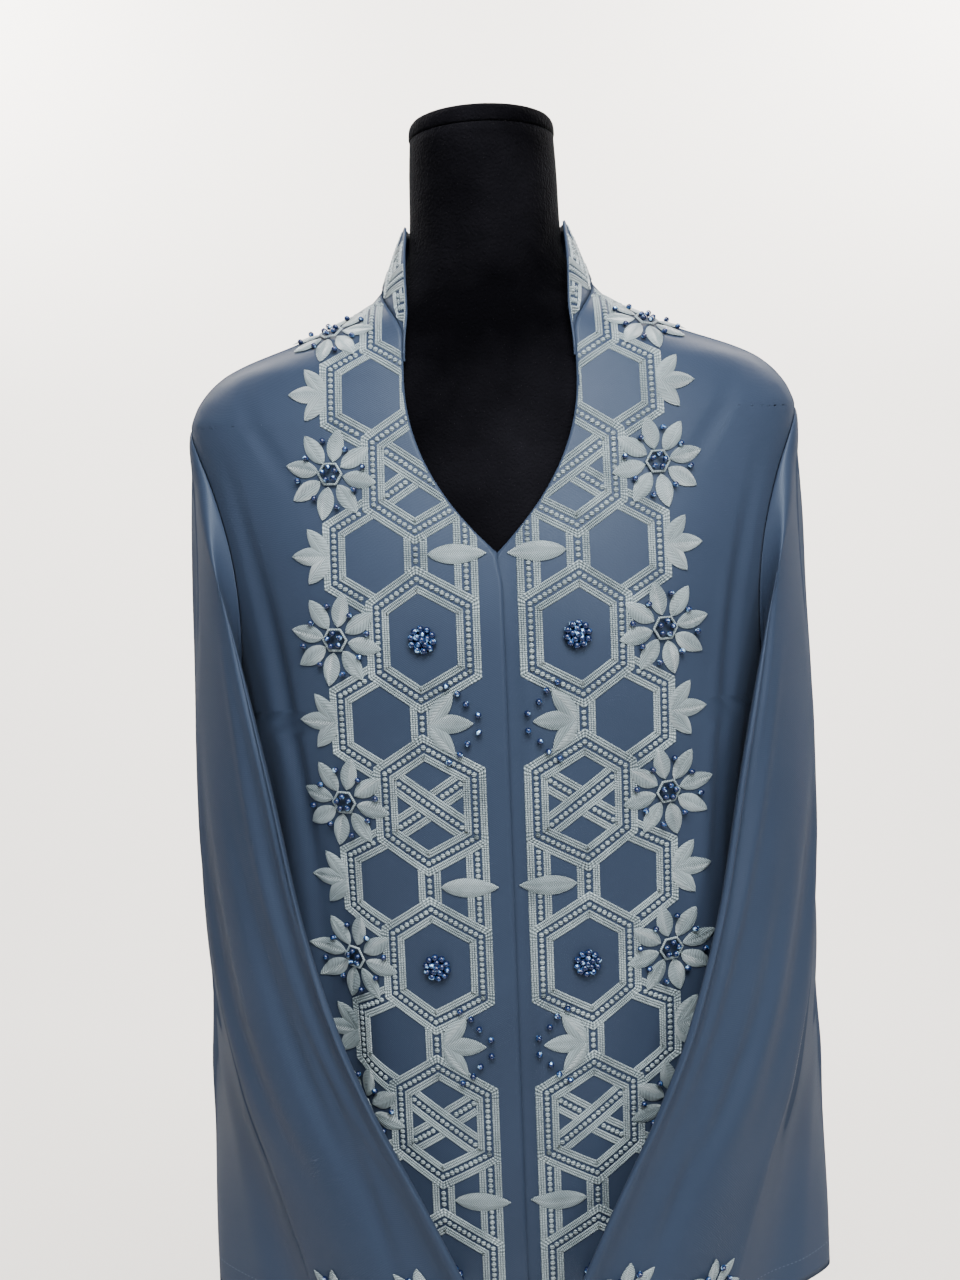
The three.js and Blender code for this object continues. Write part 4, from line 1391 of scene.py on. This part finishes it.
def collar_surface(length, rise):
    bases, tops, lengths = collar_ribs()
    base, top, ahead = (along_line(length, lengths, values)
                        for values in (bases, tops, np.gradient(bases, axis=0)))
    height = np.linalg.norm(top - base, axis=-1)
    share = np.clip(rise, COLLAR_MARGIN, np.maximum(height - COLLAR_MARGIN, COLLAR_MARGIN))
    point = base + (top - base) * (share / np.maximum(height, COLLAR_MARGIN))[..., None]
    return point, unit(np.cross(ahead, top - base))


def on_collar(length, rise):
    bases, tops, lengths = collar_ribs()
    height = np.interp(length, lengths, np.linalg.norm(tops - bases, axis=-1))
    risen = (height > COLLAR_LEAST_RISE) & (rise > COLLAR_EDGE) & (rise < height - COLLAR_EDGE)
    return risen & (length > COLLAR_END) & (length < lengths[-1] - COLLAR_END)


def embroider_collar():
    work = Embroidery(collar_surface, on_collar)
    total = collar_ribs()[2][-1]
    steps = int(total / 2 / COLLAR_ZIGZAG_STEP) + 1
    over = []
    for rises in ((COLLAR_HIGH, COLLAR_LOW), (COLLAR_LOW, COLLAR_HIGH)):
        line = [(total / 2 + step * COLLAR_ZIGZAG_STEP, rises[step % 2])
                for step in range(-steps, steps + 1)]
        add_strap(work, line, False, list(over))
        over.append((line, False))
    return work.build("collar")


# Flowers round a cuff: distance from the leading edge towards the outer side, and up from the hem
CUFF_TABLE_DOWN = 530
CUFF_SCALE = 0.92
CUFF_FLOWERS = [(36, 27), (104, 22)]
CUFF_SPRIGS = [(70, 15)]
CUFF_FLOWER_RADIUS = 25
CUFF_LEAF = (22, 10)
CUFF_SPRIG_FACING = 90
CUFF_MARGIN = 3
CUFF_REACH = -100

# Ends of the table of lengths round a cuff, and its leading edge, in degrees from the outer side
CUFF_FROM, CUFF_TO = 100, -80
CUFF_SAMPLES = 361
CUFF_LEADING_EDGE = 90


def cuff_surface(side):
    around = np.linspace(CUFF_FROM, CUFF_TO, CUFF_SAMPLES)
    length = line_lengths(sleeve_base(around, CUFF_TABLE_DOWN))
    length -= np.interp(CUFF_FROM - CUFF_LEADING_EDGE, CUFF_FROM - around, length)

    def surface(across, up):
        place = np.interp(across, length, around)
        return sleeve_point(place, SLEEVE_LENGTH - up / CUFF_SCALE, side)

    return surface


def on_cuff(across, up):
    return (up > CUFF_MARGIN) & (across > CUFF_REACH)


def embroider_cuff(side, name):
    work = Embroidery(cuff_surface(side), on_cuff)
    for centre in CUFF_FLOWERS:
        add_flower(work, centre, CUFF_FLOWER_RADIUS)
    for base in CUFF_SPRIGS:
        add_sprig(work, base, CUFF_SPRIG_FACING, CUFF_LEAF)
    return work.build(name)


# Sewing
STITCH_PITCH = 4.2
STITCH_LENGTH = 2.8
STITCH_HALF_WIDTH = 0.3
STITCH_HEIGHT = 0.3
STITCH_CROWN = 0.5
STITCH_FACES = ((0, 1, 4), (1, 2, 4), (2, 3, 4), (3, 0, 4))
HEM_DEPTH = 25
CUFF_HEM_DEPTH = 18
FRONT_SEWING = np.linspace(0.01, 0.99, 160)
BACK_SEWING = np.linspace(91, 269, 400)
CUFF_SEWING = np.linspace(0, 360, 500)


def stitch_row(name, point, normal):
    """Evenly spaced stitches along a line of surface points, as one mesh."""
    length = line_lengths(point)
    at = np.arange(STITCH_PITCH, length[-1] - STITCH_PITCH, STITCH_PITCH)
    start, end = (along_line(where, length, point) for where in (at, at + STITCH_LENGTH))
    out = unit(along_line(at, length, normal))
    side = unit(np.cross(end - start, out)) * STITCH_HALF_WIDTH
    up = out * STITCH_HEIGHT
    middle = (start + end) / 2 + up
    crown = middle + up * STITCH_CROWN
    corners = np.stack([start, middle + side, end, middle - side, crown], axis=1)
    first = np.arange(len(at))[:, None] * corners.shape[1]
    faces = np.concatenate([first + np.array(face) for face in STITCH_FACES])
    obj = make_object(name, to_metres(corners), faces.tolist(), TONAL_THREAD)
    return obj


def front_sewing(side, name):
    angle, _ = front_place(side, ARMHOLE_ROWS + SKIRT_ROWS, FRONT_SEWING)
    height = np.full(angle.shape, float(HEM_HEIGHT + HEM_DEPTH))
    return stitch_row(name, *front_point(side, angle, height))


def back_sewing(name):
    height = HEM_HEIGHT + HEM_DEPTH
    return stitch_row(name, body_point(BACK_SEWING, height), body_normal(BACK_SEWING, height))


def sleeve_sewing(side, name):
    return stitch_row(name, *sleeve_point(CUFF_SEWING, SLEEVE_LENGTH - CUFF_HEM_DEPTH, side))


def make_garment():
    fronts = {-1: "front_right", 1: "front_left"}
    for side, name in fronts.items():
        panel = wall_object(f"cloth_{name}", front_grid(side), False, CLOTH, turn=side > 0)
        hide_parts(f"abaya_{name}")
        pieces = embroider_front(side, name) + [front_sewing(side, f"{name}_hem_stitches")]
    back = wall_object("cloth_back", back_grid(), False, CLOTH)
    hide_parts("abaya_back")
    back_sewing("back_hem_stitches")
    for side, name in ((-1, "sleeve_right"), (1, "sleeve_left")):
        sleeve = wall_object(f"cloth_{name}", sleeve_grid(side), True, CLOTH, turn=side < 0)
        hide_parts(f"abaya_{name}")
        pieces = embroider_cuff(side, name) + [sleeve_sewing(side, f"{name}_hem_stitches")]
    collar = wall_object("cloth_collar", collar_grid(), False, CLOTH, COLLAR_WALL)
    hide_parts("abaya_collar")
    embroider_collar()


def finish_stand():
    for name in ("stand_base", "stand_pole", "stand_socket"):
        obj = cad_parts[name]
        obj.data.materials.clear()
        obj.data.materials.append(METAL)


# Stage, camera and light
FLOOR_HALF = 7.0
WALL_DISTANCE = 3.4
WALL_HEIGHT = 5.0
STAGE_CURVE = 1.6
STAGE_CURVE_STEPS = 24
FLOOR_DROP = 0.0005
CAMERA_PLACE = (0.0, -0.90, 1.37)
CAMERA_PITCH = 8.9
CAMERA_ROLL = -2.3
CAMERA_YAW = 1.0
CAMERA_LENS = 32.6
SENSOR_LONG_SIDE = 36.0
ROOM_STRENGTH = 0.5

# Lights: name, place, what each is aimed at, size, power and colour
AREA_LIGHTS = [
    ("window", (1.5, -2.2, 2.3), (0.05, 0, 1.35), (1.0, 1.0), 66, (1.0, 0.97, 0.93)),
    ("fill", (-1.4, -2.3, 2.3), (0, 0, 1.35), (1.0, 1.0), 26, (0.95, 0.97, 1.0)),
    ("ceiling", (0.1, -1.1, 2.65), (0, -0.1, 1.3), (1.2, 0.8), 105, (1.0, 0.98, 0.95)),
    ("wall_left", (-2.0, 2.0, 3.6), (-1.2, 3.4, 1.0), (2.4, 0.8), 350, (1.0, 0.96, 0.92)),
    ("wall_right", (2.0, 2.0, 3.6), (1.2, 3.4, 1.0), (2.4, 0.8), 350, (1.0, 0.96, 0.92)),
]


def make_stage():
    """A floor that curves up into a wall."""
    turns = np.radians(np.linspace(0, 90, STAGE_CURVE_STEPS + 1))
    bend = WALL_DISTANCE - STAGE_CURVE
    profile = [(-FLOOR_HALF, -FLOOR_DROP)]
    for turn in turns:
        rise = STAGE_CURVE * (1 - math.cos(turn)) - FLOOR_DROP
        profile.append((bend + STAGE_CURVE * math.sin(turn), rise))
    profile.append((WALL_DISTANCE, WALL_HEIGHT))
    points = [(x, y, z) for y, z in profile for x in (-FLOOR_HALF, FLOOR_HALF)]
    faces = quads(len(profile), 2, False).tolist()
    mesh = make_mesh("floor_and_wall", points, faces, stage_paint())
    link_object("floor_and_wall", mesh)


def area_light(name, place, target, size, power, colour):
    data = bpy.data.lights.new(name, "AREA")
    data.shape = "RECTANGLE"
    data.size, data.size_y = size
    data.energy = power
    data.color = colour
    place, target = np.array(place), np.array(target)
    back = unit((place - target)[None])[0]
    right = unit(np.cross((0, 0, 1), back)[None])[0]
    up = np.cross(back, right)
    matrix = Matrix.Identity(4)
    for row in range(3):
        matrix[row][0], matrix[row][1], matrix[row][2] = right[row], up[row], back[row]
        matrix[row][3] = place[row]
    link_object(name, data).matrix_world = matrix


def room_light():
    """Pale light all round, brighter from above than from below."""
    world = bpy.data.worlds.new("room")
    world.use_nodes = True
    tree = world.node_tree
    direction = tree.nodes.new("ShaderNodeTexCoord").outputs["Generated"]
    split = tree.nodes.new("ShaderNodeSeparateXYZ")
    tree.links.new(direction, split.inputs["Vector"])
    height = math_node(tree, "ADD", math_node(tree, "MULTIPLY", split.outputs["Z"], 0.5), 0.5)
    colour = colour_ramp(tree, height, ROOM_TONES)
    background = tree.nodes["Background"]
    tree.links.new(colour, background.inputs["Color"])
    background.inputs["Strength"].default_value = ROOM_STRENGTH
    bpy.context.scene.world = world


def make_lights():
    room_light()
    for name, place, target, size, power, colour in AREA_LIGHTS:
        area_light(name, place, target, size, power, colour)


def make_camera():
    data = bpy.data.cameras.new("camera")
    data.sensor_fit = "VERTICAL"
    data.sensor_height = SENSOR_LONG_SIDE
    data.lens = CAMERA_LENS
    camera = link_object("camera", data)
    turn = (Matrix.Rotation(math.radians(CAMERA_YAW), 4, "Z")
            @ Matrix.Rotation(math.radians(90 - CAMERA_PITCH), 4, "X")
            @ Matrix.Rotation(math.radians(CAMERA_ROLL), 4, "Z"))
    place = np.array(CAMERA_PLACE) + SHIFT
    camera.matrix_world = Matrix.Translation(place.tolist()) @ turn
    bpy.context.scene.camera = camera


make_form()
make_garment()
finish_stand()
make_stage()
make_lights()
make_camera()
